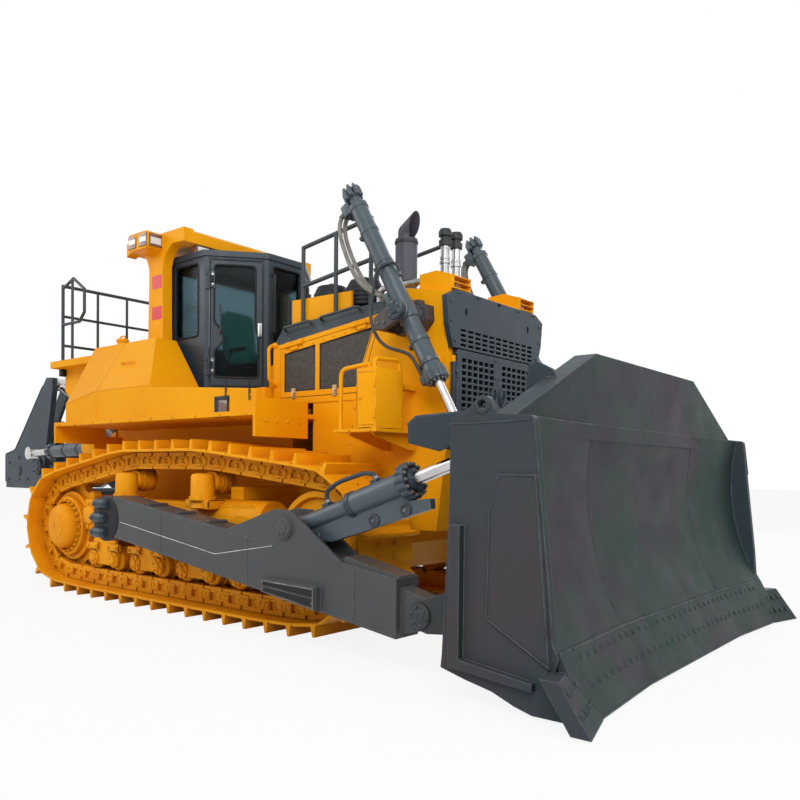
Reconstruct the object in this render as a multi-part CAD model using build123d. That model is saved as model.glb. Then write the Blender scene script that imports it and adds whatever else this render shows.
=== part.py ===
from build123d import *
import math
import os

# Driving sizes in millimetres. X runs forward, Y to the left, Z up from the ground.
# Undercarriage
track_gauge = 2770.0
shoe_width = 770.0
shoe_count = 41
shoe_thick = 30.0
grouser_height = 100.0
link_out = 105.0
link_in = 95.0
link_half_gap = 62.0
link_thick = 90.0
sprocket_x = -2290.0
sprocket_z = 840.0
sprocket_pitch_r = 585.0
sprocket_half_width = 55.0
idler_x = 2290.0
idler_z = 885.0
idler_pitch_r = 630.0
carrier_xs = (-790.0, 670.0)
carrier_z = 1470.0
carrier_reach = 130.0
roller_first_x = -1600.0
roller_last_x = 1620.0
roller_count = 8
roller_r = 140.0
roll_gap = 0.5
frame_bottom = 790.0
frame_top = 1230.0
frame_width = 340.0
frame_rear_x = -1620.0
frame_front_x = 1480.0
recoil_r = 212.0
recoil_drop = 165.0
recoil_rear_x = 300.0
equalizer_x = 980.0
final_case_r = 400.0

# Hull and front end
hull_half = 560.0
hull_bottom = 560.0
hull_top = 1500.0
hull_rear_x = -2700.0
hull_step_x = 950.0
hull_deck_z = 2200.0
cowl_half = 290.0
cowl_top = 2900.0
guard_rear_x = 2640.0
guard_front_x = 3300.0
guard_half = 900.0
guard_front_half = 830.0
guard_bottom = 1030.0
guard_top = 3310.0
guard_rise = 110.0
guard_wall = 90.0
mask_depth = 60.0
mask_bottom = 2775.0
mask_top = 3322.0
mask_shoulder_z = 3250.0
mask_waist_z = 2985.0
mask_low_half = 815.0
mask_waist_half = 895.0
mask_shoulder_half = 928.0
mask_top_half = 770.0
slot_high = 24.0
slot_wide = 100.0
slot_band_half = 710.0
slot_rows = 4
slot_cols = 11
door_split = 8.0
grille_bottom = 1900.0
grille_depth = 50.0
grille_rim = 75.0
grille_rows = 12
grille_cols = 6
grille_bar = 22.0
knuckle_r = 20.0
lamp_in = 480.0
lamp_out = 780.0
lamp_deep = 370.0
lamp_high = 225.0

# Hood
hood_rear_x = 980.0
hood_bottom = 2330.0
hood_half = 900.0
hood_crown_half = 740.0
hood_wall = 60.0
hood_shoulder_rear = 2990.0
hood_shoulder_front = 3195.0
hood_crown_rear = 3230.0
hood_crown_front = 3360.0
hood_rail_y = 600.0
side_plate_rear_x = 1000.0
side_plate_front_x = 1910.0
side_plate_top = 3540.0
side_plate_thick = 30.0
panel_gap = 6.0
door_bevel = 60.0
door_margin = 110.0
door_sill = 70.0
door_lean = 250.0
mesh_rim = 60.0
mesh_depth = 25.0
mesh_split_x = 1665.0
stack_x = 2470.0
stack_y = -400.0
stack_r = 116.0
stack_z = 4035.0
elbow_r = 90.0
elbow_z = 4110.0
elbow_reach = 190.0
elbow_rise = 130.0
pipe_wall = 10.0
cleaner_xs = (1340.0, 1840.0)
cleaner_y = -330.0
cleaner_r = 225.0
cleaner_top = 3700.0
cleaner_ribs = 6

# Cab and roll-over frame
cab_floor = 2560.0
rops_top = 4560.0
roof_gap = 270.0
cab_roof = rops_top - roof_gap
cab_wall = 70.0
cab_eave = 25.0
cab_rear_x = -1050.0
cab_hip_x = -250.0
cab_nose_x = 240.0
cab_rear_half = 905.0
cab_hip_half = 905.0
cab_nose_half = 310.0
glass_thick = 10.0
glass_low = 2960.0
pane_head = 140.0
glass_high = cab_roof - pane_head
quarter_low = 3250.0
pane_round = 60.0
door_low = 2620.0
door_head = 95.0
door_high = cab_roof - door_head
door_start = 50.0
door_end_margin = 50.0
pin_out = 18.0
hinge_high = 120.0
hinge_inset = 200.0
rops_post_rear = -1130.0
rops_post_front = -845.0
rops_roof_rear = -1640.0
rops_roof_front = -410.0
rops_inner = 960.0
rops_half = 1100.0
rops_fascia = 170.0
rops_gusset = 300.0
lamp_box_rear = -1250.0
lamp_box_front = -830.0
lamp_box_out = 1330.0
lamp_box_drop = 15.0
lamp_box_high = 210.0
lamp_box_top = rops_top - lamp_box_drop
lamp_box_bottom = lamp_box_top - lamp_box_high
seat_front_x = -120.0
seat_deep = 520.0
seat_half = 280.0
seat_top = 3110.0
seat_back_share = 600.0 / 1180.0
console_x = 40.0
console_deep = 110.0
console_half = 240.0
console_top = 3240.0

# Fenders and tanks
fender_z = 2200.0
fender_thick = 50.0
fender_half = 1740.0
fender_rear_x = -2320.0
fender_front_x = 1630.0
fender_skirt = 265.0
walk_z = 2330.0
curb_thick = 60.0
curb_rear_z = 2545.0
curb_front_z = 2415.0
tank_rear_x = -2060.0
tank_bend_x = -1335.0
tank_front_x = -200.0
tank_knee_z = 2560.0
tank_rear_knee_z = 2435.0
tank_top_half = 1300.0
tank_top_front_x = -690.0
tank_top_z = 3210.0
tank_inner = 1000.0
deck_rear_x = -3450.0
deck_top = 3150.0
deck_half = 1200.0
deck_thick = 95.0
deck_front_x = -2350.0

# Blade and push arms
trunnion_x = -420.0
trunnion_z = 1040.0
trunnion_r = 130.0
arm_y = 1990.0
arm_half = 147.0
arm_tongue = 85.0
arm_rear_low = 200.0
arm_rear_high = 255.0
arm_front_low = 215.0
arm_front_high = 262.0
pitch_x = 3980.0
pitch_z = 490.0
pitch_r = 75.0
lug_thick = 55.0
lug_gap = 10.0
blade_centre_half = 1170.0
blade_half = 2430.0
wing_sweep = 90.0
edge_bottom = 20.0
edge_tip_x = 5400.0
edge_thick = 62.0
bit_half = 2640.0
bit_lap = 230.0
bit_thick = 135.0
bit_reach = 110.0
bit_rise = 310.0
blade_seam_x = 5190.0
blade_seam_z = 420.0
blade_mid_x = 4905.0
blade_top_x = 4930.0
blade_top_z = 1975.0
blade_back_x = 4560.0
end_thick = 60.0
eye_x = 4694.0
eye_z = 2051.0
eye_r = 32.0
spill_top_z = 2530.0
spill_top_half = 1150.0
spill_thick = 55.0
spill_flange = 180.0
spill_bar = 90.0
ear_y = 1620.0
ear_thick = 40.0

# Cylinders
pin_gap = 0.4
rod_gap = 0.6
eye_play = 8.0
lift_y = 1110.0
lift_x = 3030.0
lift_z = 3085.0
lift_eye_x = 4240.0
lift_eye_z = 900.0
lift_barrel_r = 118.0
lift_rod_r = 62.0
lift_pin_r = 70.0
lift_eye_r = 115.0
lift_up = 1270.0
lift_head = 200.0
lift_down = 590.0
lift_tail = 210.0
lift_collar = 28.0
lift_flange = 18.0
lift_eye_half = 70.0
tilt_x = 2480.0
tilt_z = 1080.0
tilt_eye_x = 4400.0
tilt_eye_z = 1740.0
tilt_barrel_r = 105.0
tilt_neck_r = 80.0
tilt_neck_end = 720.0
tilt_rod_r = 55.0
tilt_pin_r = 60.0
tilt_barrel_len = 1385.0
tilt_flange = 42.0
tilt_skid = 130.0
tilt_eye_half = 65.0

# Ripper
rip_a_x = -3100.0
rip_a_z = 690.0
rip_b_x = -4900.0
rip_b_z = 1640.0
rip_d_x = -4600.0
rip_d_z = 2960.0
rip_c_x = rip_d_x - (rip_b_x - rip_a_x)
rip_c_z = rip_d_z - (rip_b_z - rip_a_z)
rip_e_x = -2830.0
rip_e_z = 1900.0
rip_f_x = -4700.0
rip_f_z = 1840.0
rip_rear_x = -6040.0
rip_beam_low = 1270.0
rip_beam_high = 1850.0
rip_beam_deep = 830.0
rip_pin_r = 75.0
rip_a_r = 70.0
rip_eye_pin_r = 55.0
rip_eye_r = 100.0
rip_barrel_r = 97.0
rip_rod_r = 52.0
rip_tilt_len = 1300.0
rip_lift_len = 1250.0
shank_x = -5560.0
shank_half_x = 190.0
shank_half_y = 60.0
shank_tip_z = 700.0
shank_top_z = 2420.0
shank_gap = 3.0
rip_arm_in = 380.0
rip_arm_out = 545.0
rip_plate_in = 560.0
rip_plate_out = 650.0
rip_tilt_y = 430.0
rip_lift_y = 850.0

# Rails and steps
rail_r = 24.0
rear_rail_x = -3350.0
rear_rail_y = 1060.0
rear_rail_zs = (3400.0, 3825.0, 4265.0)
rear_post_ys = (0.0, 500.0)
hoop_front_x = -2760.0
hoop_low_z = 3700.0
hood_rail_rear_x = 1200.0
hood_rail_mid_x = 1700.0
hood_rail_front_x = 2200.0
hood_rail_z = 4115.0
hood_rail_rise = 0.14
step_rear_x = 2600.0
step_front_x = 3290.0
step_bottom = 1920.0
step_top = 2520.0
step_out = 1560.0
step_thick = 60.0
step_tread_z = 2290.0


def block(x0, x1, y0, y1, z0, z1):
    centre = Pos((x0 + x1) / 2, (y0 + y1) / 2, (z0 + z1) / 2)
    return centre * Box(x1 - x0, y1 - y0, z1 - z0)


def side_form(points, y0, y1):
    # an outline in X and Z, drawn out across the machine
    outline = make_face(Polyline(*points, close=True))
    return extrude(Plane.XZ.offset(-y1) * outline, amount=y1 - y0)


def plan_form(points, z0, z1):
    outline = make_face(Polyline(*points, close=True))
    return extrude(Plane.XY.offset(z0) * outline, amount=z1 - z0)


def cross_form(points, x0, x1):
    outline = make_face(Polyline(*points, close=True))
    return extrude(Plane.YZ.offset(x0) * outline, amount=x1 - x0)


def rod(p, q, r):
    start = Vector(*p)
    along = Vector(*q) - start
    return Solid.make_cylinder(r, along.length, Plane(origin=start, z_dir=along))


def across(x, z, y0, y1, r):
    return rod((x, y0, z), (x, y1, z), r)


def pipe(points, r):
    body = None
    for p, q in zip(points[:-1], points[1:]):
        piece = rod(p, q, r)
        body = piece if body is None else body + piece
    for p in points[1:-1]:
        body += Pos(*p) * Sphere(r)
    return body


def flip(shape):
    return mirror(shape, about=Plane.XZ)


def pair(shape):
    return list(shape.solids()) + list(flip(shape).solids())


def hull_of(points):
    points = sorted(set(points))
    chains = []
    for run in (points, points[::-1]):
        chain = []
        for p in run:
            while len(chain) > 1:
                (ax, az), (bx, bz) = chain[-2], chain[-1]
                if (bx - ax) * (p[1] - az) - (bz - az) * (p[0] - ax) > 0:
                    break
                chain.pop()
            chain.append(p)
        chains += chain[:-1]
    return chains


def track_pins():
    # the line of the track's pins, a belt round its wheels, cut in equal pitches
    low = grouser_height + shoe_thick + link_out
    roller_z = low + link_in + roller_r
    wheels = [(sprocket_x, sprocket_z, sprocket_pitch_r), (idler_x, idler_z, idler_pitch_r)]
    wheels += [(x, carrier_z, carrier_reach + link_in) for x in carrier_xs]
    wheels += [(x, roller_z, roller_r + link_in) for x in (roller_first_x, roller_last_x)]
    cloud = []
    for x, z, r in wheels:
        for i in range(240):
            a = 2 * math.pi * i / 240
            cloud.append((round(x + r * math.cos(a), 3), round(z + r * math.sin(a), 3)))
    belt = hull_of(cloud)
    legs = [math.dist(belt[i], belt[(i + 1) % len(belt)]) for i in range(len(belt))]
    pitch = sum(legs) / shoe_count
    pins = []
    walked = 0.0
    for i, leg in enumerate(legs):
        p, q = belt[i], belt[(i + 1) % len(belt)]
        while len(pins) * pitch < walked + leg and len(pins) < shoe_count:
            t = (len(pins) * pitch - walked) / leg
            pins.append((p[0] + t * (q[0] - p[0]), p[1] + t * (q[1] - p[1])))
        walked += leg
    return pins


def track_outlines():
    pins = track_pins()
    high = link_out + shoe_thick
    shoes, seat, sunk, rails = [], [], [], []
    for i in range(shoe_count):
        prev, here, after = pins[i - 1], pins[i], pins[(i + 1) % shoe_count]
        step = math.dist(here, after)
        tx, tz = (after[0] - here[0]) / step, (after[1] - here[1]) / step
        before = math.dist(prev, here)
        sx, sz = tx + (here[0] - prev[0]) / before, tz + (here[1] - prev[1]) / before
        size = math.hypot(sx, sz)
        jx, jz = sz / size, -sx / size

        def at(s, h):
            return (here[0] + s * step * tx + h * tz, here[1] + s * step * tz - h * tx)

        def joint(h):
            return (here[0] + h * jx, here[1] + h * jz)

        shoes += [joint(link_out + 0.35 * shoe_thick), at(0.04, high), at(0.76, high)]
        shoes += [at(0.82, high + grouser_height), at(0.91, high + grouser_height), at(0.96, high)]
        seat.append(joint(link_out))
        sunk.append(joint(link_out + 0.25 * shoe_thick))
        rails += [joint(-0.45 * link_in), at(0.16, -link_in), at(0.84, -link_in)]
    return shoes, seat, sunk, rails


def ring(outer, inner, y0, y1):
    face = make_face(Polyline(*outer, close=True)) - make_face(Polyline(*inner, close=True))
    return extrude(Plane.XZ.offset(-y1) * face, amount=y1 - y0)


def room(x, z, outline):
    # how far a wheel at x, z may reach before it meets the outline
    best = 1e9
    for i in range(len(outline)):
        (ax, az), (bx, bz) = outline[i - 1], outline[i]
        span = (bx - ax) ** 2 + (bz - az) ** 2
        t = max(0.0, min(1.0, ((x - ax) * (bx - ax) + (z - az) * (bz - az)) / span))
        best = min(best, math.hypot(ax + t * (bx - ax) - x, az + t * (bz - az) - z))
    return best


gauge_y = -track_gauge / 2
shoes, seat, sunk, rails = track_outlines()


def make_track():
    loop = ring(shoes, seat, gauge_y - shoe_width / 2, gauge_y + shoe_width / 2)
    for side in (-1, 1):
        near = gauge_y + side * link_half_gap
        far = near + side * link_thick
        loop += ring(sunk, rails, min(near, far), max(near, far))
    return loop


def make_sprocket():
    pins = track_pins()
    pitch = math.dist(pins[0], pins[1])
    count = round(math.pi / math.asin(pitch / 2 / sprocket_pitch_r))
    wrapped = [p for p in pins if abs(math.dist(p, (sprocket_x, sprocket_z)) - sprocket_pitch_r) < 1.0]
    first = min(wrapped, key=lambda p: p[0])
    phase = math.atan2(first[1] - sprocket_z, first[0] - sprocket_x)
    teeth = []
    root, tip = sprocket_pitch_r - 55, sprocket_pitch_r + 32
    for i in range(count):
        a = phase + 2 * math.pi * i / count
        for share, r in ((0.16, root), (0.36, tip), (0.64, tip), (0.84, root)):
            b = a + share * 2 * math.pi / count
            teeth.append((sprocket_x + r * math.cos(b), sprocket_z + r * math.sin(b)))
    outer = gauge_y - sprocket_half_width
    wheel = side_form(teeth, outer, gauge_y + sprocket_half_width)
    hub = room(sprocket_x, sprocket_z, rails) - 15
    flange = 0.86 * hub
    plane = Plane(origin=(sprocket_x, outer + 1, sprocket_z), z_dir=(0, -1, 0))
    wheel += Solid.make_cylinder(hub, 61, plane)
    wheel += Solid.make_cylinder(flange, 121, plane)
    wheel += Solid.make_cone(0.8 * flange, 0.56 * flange, 111, plane.offset(120))
    return wheel + Solid.make_cylinder(0.42 * flange, 66, plane.offset(230))


def make_idler():
    tread = room(idler_x, idler_z, rails) - roll_gap
    half = link_half_gap + link_thick
    rib = link_half_gap - 7
    profile = [(0, -half - 20), (150, -half - 20), (150, 45 - half), (tread - 70, 45 - half), (tread - 55, -half),
               (tread, -half), (tread, -rib), (tread + 40, 12 - rib), (tread + 40, rib - 12), (tread, rib), (tread, half),
               (tread - 55, half), (tread - 70, half - 45), (150, half - 45), (150, half + 20), (0, half + 20)]
    wheel = revolve(make_face(Polyline(*profile, close=True)), axis=Axis.Y)
    return Pos(idler_x, gauge_y, idler_z) * Rot(0, 11.25, 0) * wheel


def make_track_frame():
    outer, inner = gauge_y - frame_width / 2, gauge_y + frame_width / 2
    outline = [(frame_rear_x, frame_bottom), (frame_front_x, frame_bottom), (frame_front_x, frame_top - 40),
               (frame_front_x - 150, frame_top), (frame_rear_x + 500, frame_top), (frame_rear_x, frame_top - 170)]
    beam = side_form(outline, outer, inner)
    recoil_z = frame_top - recoil_drop
    recoil = (frame_front_x + 60, gauge_y, recoil_z)
    beam += rod((recoil_rear_x, gauge_y, recoil_z), recoil, recoil_r)
    half = link_half_gap + link_thick + 20
    for side in (-1, 1):
        y = gauge_y + side * half
        low = max(frame_bottom, idler_z - 140)
        beam += side_form([(frame_front_x - 300, low), (idler_x, low), (idler_x + 130, idler_z - 50),
                           (idler_x + 130, idler_z + 50), (idler_x, idler_z + 140),
                           (frame_front_x - 300, frame_top - 100)], *sorted((y, y + side * 45)))
    for x in carrier_xs:
        beam += Solid.make_cone(130, 84, 120, Plane(origin=(x, outer - 80, frame_top - 45)))
        beam += rod((x, outer - 80, frame_top), (x, outer - 80, carrier_z), 84)
        beam += across(x, carrier_z, outer - 164, outer + 12, 92)
    beam += across(trunnion_x, trunnion_z, -arm_y + arm_half + 15, outer + 5, trunnion_r + 60)
    return beam + across(trunnion_x, trunnion_z, -arm_y - arm_half + 20, outer + 5, trunnion_r)


def roller(x, z, y0, y1, flange_half, tread, lip):
    # a turned roller, with the raised middle that runs between the links
    profile = [(0, y0), (tread - 25, y0), (tread, y0 + 25), (tread, -flange_half), (tread + lip, 10 - flange_half),
               (tread + lip, flange_half - 10), (tread, flange_half), (tread, y1 - 25), (tread - 25, y1), (0, y1)]
    wheel = revolve(make_face(Polyline(*profile, close=True)), axis=Axis.Y)
    return Pos(x, gauge_y, z) * wheel


def make_carriers():
    inside = frame_width / 2
    return [roller(x, carrier_z, 12 - inside, inside - 30, link_half_gap - 8, room(x, carrier_z, rails) - roll_gap, 22)
            for x in carrier_xs]


def make_bogies():
    low = grouser_height + shoe_thick + link_out + link_in
    z = low + roller_r
    half = link_half_gap + link_thick
    spacing = (roller_last_x - roller_first_x) / (roller_count - 1)
    bogies = []
    for k in range(roller_count // 2):
        x0 = roller_first_x + 2 * k * spacing
        x1 = x0 + spacing
        mid = (x0 + x1) / 2
        bogie = None
        for x in (x0, x1):
            wheel = roller(x, z, -half - 10, half + 10, link_half_gap - 8, room(x, z, rails) - roll_gap, 24)
            bogie = wheel if bogie is None else bogie + wheel
        for side in (-1, 1):
            y = gauge_y + side * (half + 5)
            outline = [(x0 - 80, z - 75), (x1 + 80, z - 75), (x1 + 95, z + 60), (mid + 190, frame_bottom),
                       (mid - 190, frame_bottom), (x0 - 95, z + 60)]
            bogie += side_form(outline, *sorted((y, y + side * 35)))
        bogies.append(bogie)
    return bogies


def make_main_frame():
    outline = [(hull_rear_x, hull_bottom + 180), (hull_rear_x + 350, hull_bottom), (guard_rear_x - 250, hull_bottom),
               (guard_rear_x, hull_bottom + 300), (guard_rear_x, hull_top), (hull_step_x, hull_top),
               (hull_step_x, hull_deck_z), (hull_rear_x, hull_deck_z)]
    frame = side_form(outline, -hull_half, hull_half)
    frame += plan_form(cab_plan(cab_wall), hull_deck_z, cab_floor)
    frame += block(cab_nose_x, hood_rear_x, -cowl_half, cowl_half, cab_floor - 1, cowl_top)
    frame += block(cab_nose_x - cab_wall - 5, hood_rear_x, -cowl_half, cowl_half, hull_deck_z - 1, cab_floor)
    case_end = track_gauge / 2 - sprocket_half_width
    case_r = min(final_case_r, room(sprocket_x, sprocket_z, rails) - 25)
    frame += across(sprocket_x, sprocket_z, -case_end, case_end, case_r)
    shaft_end = track_gauge / 2 - frame_width / 2
    frame += across(frame_rear_x + 520, (frame_bottom + frame_top) / 2, -shaft_end, shaft_end, 140)
    rest_z = frame_top - recoil_drop + recoil_r
    return frame + block(equalizer_x - 100, equalizer_x + 100, -shaft_end - 200, shaft_end + 200, rest_z, rest_z + 140)


def rear_lug(x, z, reach, y0, y1):
    # a pin lug on the hull's rear wall, round about its pin
    return side_form([(hull_rear_x, z - reach), (hull_rear_x, z + reach), (x - 20, z + 90), (x - 85, z + 35),
                      (x - 85, z - 35), (x - 20, z - 90)], y0, y1)


def make_ripper_brackets():
    lugs = []
    for y in (rip_arm_in - lug_gap - lug_thick, rip_arm_out + lug_gap):
        lugs.append(side_form([(hull_rear_x, rip_a_z + 250), (rip_a_x, rip_a_z + 130), (rip_a_x - 130, rip_a_z),
                               (rip_a_x, rip_a_z - 130), (hull_rear_x, rip_a_z + 60)], -y - lug_thick, -y))
    lugs[0] += across(rip_a_x, rip_a_z, -rip_arm_out - lug_gap, -rip_arm_in + lug_gap + 1, rip_a_r)
    free = rip_barrel_r + lug_gap
    for y in (rip_tilt_y - free - lug_thick, rip_tilt_y + free):
        lugs.append(rear_lug(rip_c_x, rip_c_z, 140, -y - lug_thick, -y))
    lugs[2] += across(rip_c_x, rip_c_z, -rip_tilt_y - free, -rip_tilt_y + free + 1, rip_eye_pin_r)
    wing = block(hull_rear_x, hull_rear_x + 120, -rip_lift_y - free - lug_thick, -hull_half,
                 rip_e_z - 160, rip_e_z + 160)
    for y in (rip_lift_y - free - lug_thick, rip_lift_y + free):
        wing += rear_lug(rip_e_x, rip_e_z, 130, -y - lug_thick, -y)
    wing += across(rip_e_x, rip_e_z, -rip_lift_y - free - 5, -rip_lift_y + free + 5, rip_eye_pin_r)
    return lugs + [wing]


def grille_pin_x():
    return guard_front_x + door_split + knuckle_r


def grille_pin_y():
    return guard_front_half - guard_wall + knuckle_r + door_split


def make_guard():
    outline = [(guard_rear_x, guard_bottom + 160), (guard_front_x - 330, guard_bottom), (guard_front_x - 100, guard_bottom),
               (guard_front_x, grille_bottom - 60), (guard_front_x, guard_top), (guard_rear_x, guard_top + guard_rise)]
    case = side_form(outline, -guard_half, guard_half)
    case &= plan_form([(guard_rear_x, -guard_half), (guard_front_x, -guard_front_half),
                        (guard_front_x, guard_front_half), (guard_rear_x, guard_half)],
                       guard_bottom, guard_top + guard_rise)
    inside = guard_front_half - guard_wall
    case -= side_form([(guard_rear_x - 1, grille_bottom), (guard_front_x + 1, grille_bottom),
                        (guard_front_x + 1, guard_top - guard_wall), (guard_rear_x - 1, guard_top + guard_rise - guard_wall)],
                       -inside, inside)
    case -= block(guard_rear_x - 1, guard_front_x - 330, -inside, inside, hull_top, grille_bottom + 1)
    y = grille_pin_y()
    for z0, z1 in grille_knuckles():
        for side in (-1, 1):
            case += rod((grille_pin_x(), side * y, z0), (grille_pin_x(), side * y, z1), knuckle_r)
            case += block(guard_front_x - 1, grille_pin_x(), side * y - 10, side * y + 10, z0, z1)
    return case


def grille_knuckles():
    # the heights of the guard's two knuckles, above and below the door's long one
    low, high = grille_bottom + 120, mask_bottom - 132
    return (low - hinge_high / 2, low - pin_gap), (high + pin_gap, high + hinge_high / 2)


def make_mask():
    half = [(mask_low_half, mask_bottom), (mask_waist_half, mask_waist_z), (mask_shoulder_half, mask_shoulder_z),
            (mask_top_half, mask_top)]
    outline = half + [(-y, z) for y, z in half[::-1]]
    face = make_face(Polyline(*outline, close=True))
    band = mask_waist_z - mask_bottom
    slots = GridLocations(2 * slot_band_half / slot_cols, band / (slot_rows + 0.5), slot_cols, slot_rows)
    middle = Pos(0, mask_bottom + band / 2)
    face -= [middle * at * Rectangle(slot_wide, slot_high) for at in slots]
    holes = [Pos(side * 0.65 * mask_shoulder_half, mask_waist_z + 0.55 * (mask_shoulder_z - mask_waist_z))
             for side in (-1, 1)]
    face -= [at * Ellipse(24, 42) for at in holes]
    return extrude(Plane.YZ.offset(guard_front_x) * face, amount=mask_depth)


def make_grille_door():
    outer = guard_front_half - guard_wall
    inner = door_split / 2
    high = mask_bottom - 12
    wide, tall = outer - inner, high - grille_bottom
    face = Rectangle(wide, tall)
    pitch_y = (wide - 2 * grille_rim + grille_bar) / grille_cols
    pitch_z = (tall - 2 * grille_rim + grille_bar) / grille_rows
    face -= [at * Rectangle(pitch_y - grille_bar, pitch_z - grille_bar)
             for at in GridLocations(pitch_y, pitch_z, grille_cols, grille_rows)]
    middle = Pos(-(outer + inner) / 2, (grille_bottom + high) / 2)
    x0 = guard_front_x + door_split
    leaf = extrude(Plane.YZ.offset(x0) * (middle * face), amount=grille_depth)
    x, y = grille_pin_x(), -grille_pin_y()
    (_, z0), (z1, _) = grille_knuckles()
    z0, z1 = z0 + pin_gap, z1 - pin_gap
    leaf += rod((x, y, z0), (x, y, z1), knuckle_r)
    return leaf + block(x0, x0 + 2 * knuckle_r, y, 10 - outer, z0, z1)


def hood_section(x, half, crown_half, bottom, shoulder, crown):
    points = [(-half, bottom), (-half, shoulder), (-crown_half, crown),
              (crown_half, crown), (half, shoulder), (half, bottom)]
    return Plane.YZ.offset(x) * make_face(Polyline(*points, close=True))


def hood_share(x):
    return (x - hood_rear_x) / (guard_rear_x - hood_rear_x)


def hood_line(x):
    return hood_shoulder_rear + hood_share(x) * (hood_shoulder_front - hood_shoulder_rear)


def crown_line(x):
    return hood_crown_rear + hood_share(x) * (hood_crown_front - hood_crown_rear)


def door_outline(gap):
    # the hood's side opening, and with a gap the door that fills it
    x0, x1 = hood_rear_x + door_margin, guard_rear_x - door_margin
    bottom = hood_bottom + door_sill
    head = 0.75 * door_sill
    return [(x0 + gap, bottom + gap), (x1 - door_lean - gap, bottom + gap), (x1 - gap, hood_line(x1) - head - gap),
            (x0 + gap, hood_line(x0) - head - gap)]


def hood_pin(share):
    # a point on the hinge line along a hood door's top edge
    top = door_outline(0)
    (ax, az), (bx, bz) = top[3], top[2]
    return (ax + share * (bx - ax), -hood_half - pin_out, az + share * (bz - az))


def hood_knuckle(a, b, up):
    p, q = hood_pin(a), hood_pin(b)
    plate = [(p[0], p[2]), (q[0], q[2]), (q[0], q[2] + up), (p[0], p[2] + up)]
    return rod(p, q, pin_out) + side_form(plate, -hood_half - pin_out, -hood_half)


def make_hood():
    w = hood_wall
    skin = loft([hood_section(hood_rear_x, hood_half, hood_crown_half, hood_bottom, hood_shoulder_rear, hood_crown_rear),
                 hood_section(guard_rear_x, hood_half, hood_crown_half, hood_bottom, hood_shoulder_front,
                              hood_crown_front)], ruled=True)
    core = loft([hood_section(hood_rear_x + w, hood_half - w, hood_crown_half - w / 2, hood_bottom - 1,
                              hood_shoulder_rear - w / 2, hood_crown_rear - w),
                 hood_section(guard_rear_x + 1, hood_half - w, hood_crown_half - w / 2, hood_bottom - 1,
                              hood_shoulder_front - w / 2, hood_crown_front - w)], ruled=True)
    shell = skin - core
    for side in (-1, 1):
        y = side * hood_rail_y
        shell += side_form([(side_plate_rear_x, crown_line(side_plate_rear_x) - 10),
                           (side_plate_front_x, crown_line(side_plate_front_x) - 10),
                           (side_plate_front_x, side_plate_top), (side_plate_rear_x, side_plate_top + 10)],
                          *sorted((y, y + side * side_plate_thick)))
    shell -= side_form(door_outline(0), -hood_half - 1, -hood_half + w + 1)
    shell -= side_form(door_outline(0), hood_half - w - 1, hood_half + 1)
    for a in (0.12, 0.8):
        for b, c in ((a - 0.05, a - 0.003), (a + 0.083, a + 0.13)):
            knuckle = hood_knuckle(b, c, 45)
            shell += knuckle
            shell += flip(knuckle)
    return shell


def make_hood_door():
    outline = door_outline(panel_gap)
    (x0, bottom), (x1, _), (x2, top1), (_, top0) = outline
    drop = door_bevel * (top1 - top0) / (x2 - x0)
    inner = [(x0, bottom + 10), (x1 - door_bevel, bottom + 10), (x2 - door_bevel, top1 - drop), (x0, top0)]
    faces = [Plane.XZ.offset(hood_half) * make_face(Polyline(*outline, close=True)),
             Plane.XZ.offset(hood_half - hood_wall) * make_face(Polyline(*inner, close=True))]
    door = loft(faces, ruled=True)
    # two sunk fields for mesh, the front one with the door's slanted edge
    rim = mesh_rim
    slope = (top1 - top0) / (x2 - x0)

    def top(x):
        return top0 + slope * (x - x0) - rim

    rear = [(x0 + rim, bottom + rim), (mesh_split_x - rim / 2, bottom + rim), (mesh_split_x - rim / 2, top(mesh_split_x)),
            (x0 + rim, top(x0 + rim))]
    front = [(mesh_split_x + rim / 2, bottom + rim), (x1 - rim, bottom + rim), (x2 - 1.4 * rim, top(x2 - rim)),
             (mesh_split_x + rim / 2, top(mesh_split_x))]
    for field in (rear, front):
        door -= side_form(field, -hood_half - 1, -hood_half + mesh_depth)
    for a in (0.12, 0.8):
        door += hood_knuckle(a, a + 0.08, -55)
    return door


def make_engine():
    mass = block(hood_rear_x + 150, guard_rear_x - 200, -430, 430, hull_top, hood_shoulder_rear - 160)
    core = block(guard_rear_x + 60, guard_rear_x + 300, -guard_front_half + guard_wall, guard_front_half - guard_wall,
                 grille_bottom, guard_top - guard_wall - 20)
    return [mass, core]


def make_exhaust():
    # a muffler pipe with a smaller elbow that blows forward
    x, y, base = stack_x, stack_y, crown_line(stack_x)
    tip = (x + elbow_reach, y, elbow_z + elbow_rise)
    stack = rod((x, y, base - 20), (x, y, stack_z), stack_r)
    stack += Solid.make_cone(stack_r + 45, stack_r, 120, Plane(origin=(x, y, base - 20)))
    elbow = pipe([(x, y, stack_z - 5), (x, y, elbow_z), tip], elbow_r)
    mouth = Plane(origin=(tip[0] - 75, y, tip[2]), z_dir=(1, 0, -0.25))
    elbow -= mouth * Pos(0, 0, 250) * Box(900, 900, 500)
    hollow = pipe([(x, y, stack_z - 60), (x, y, elbow_z), tip], elbow_r - pipe_wall)
    return stack + elbow - hollow - hood


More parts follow.
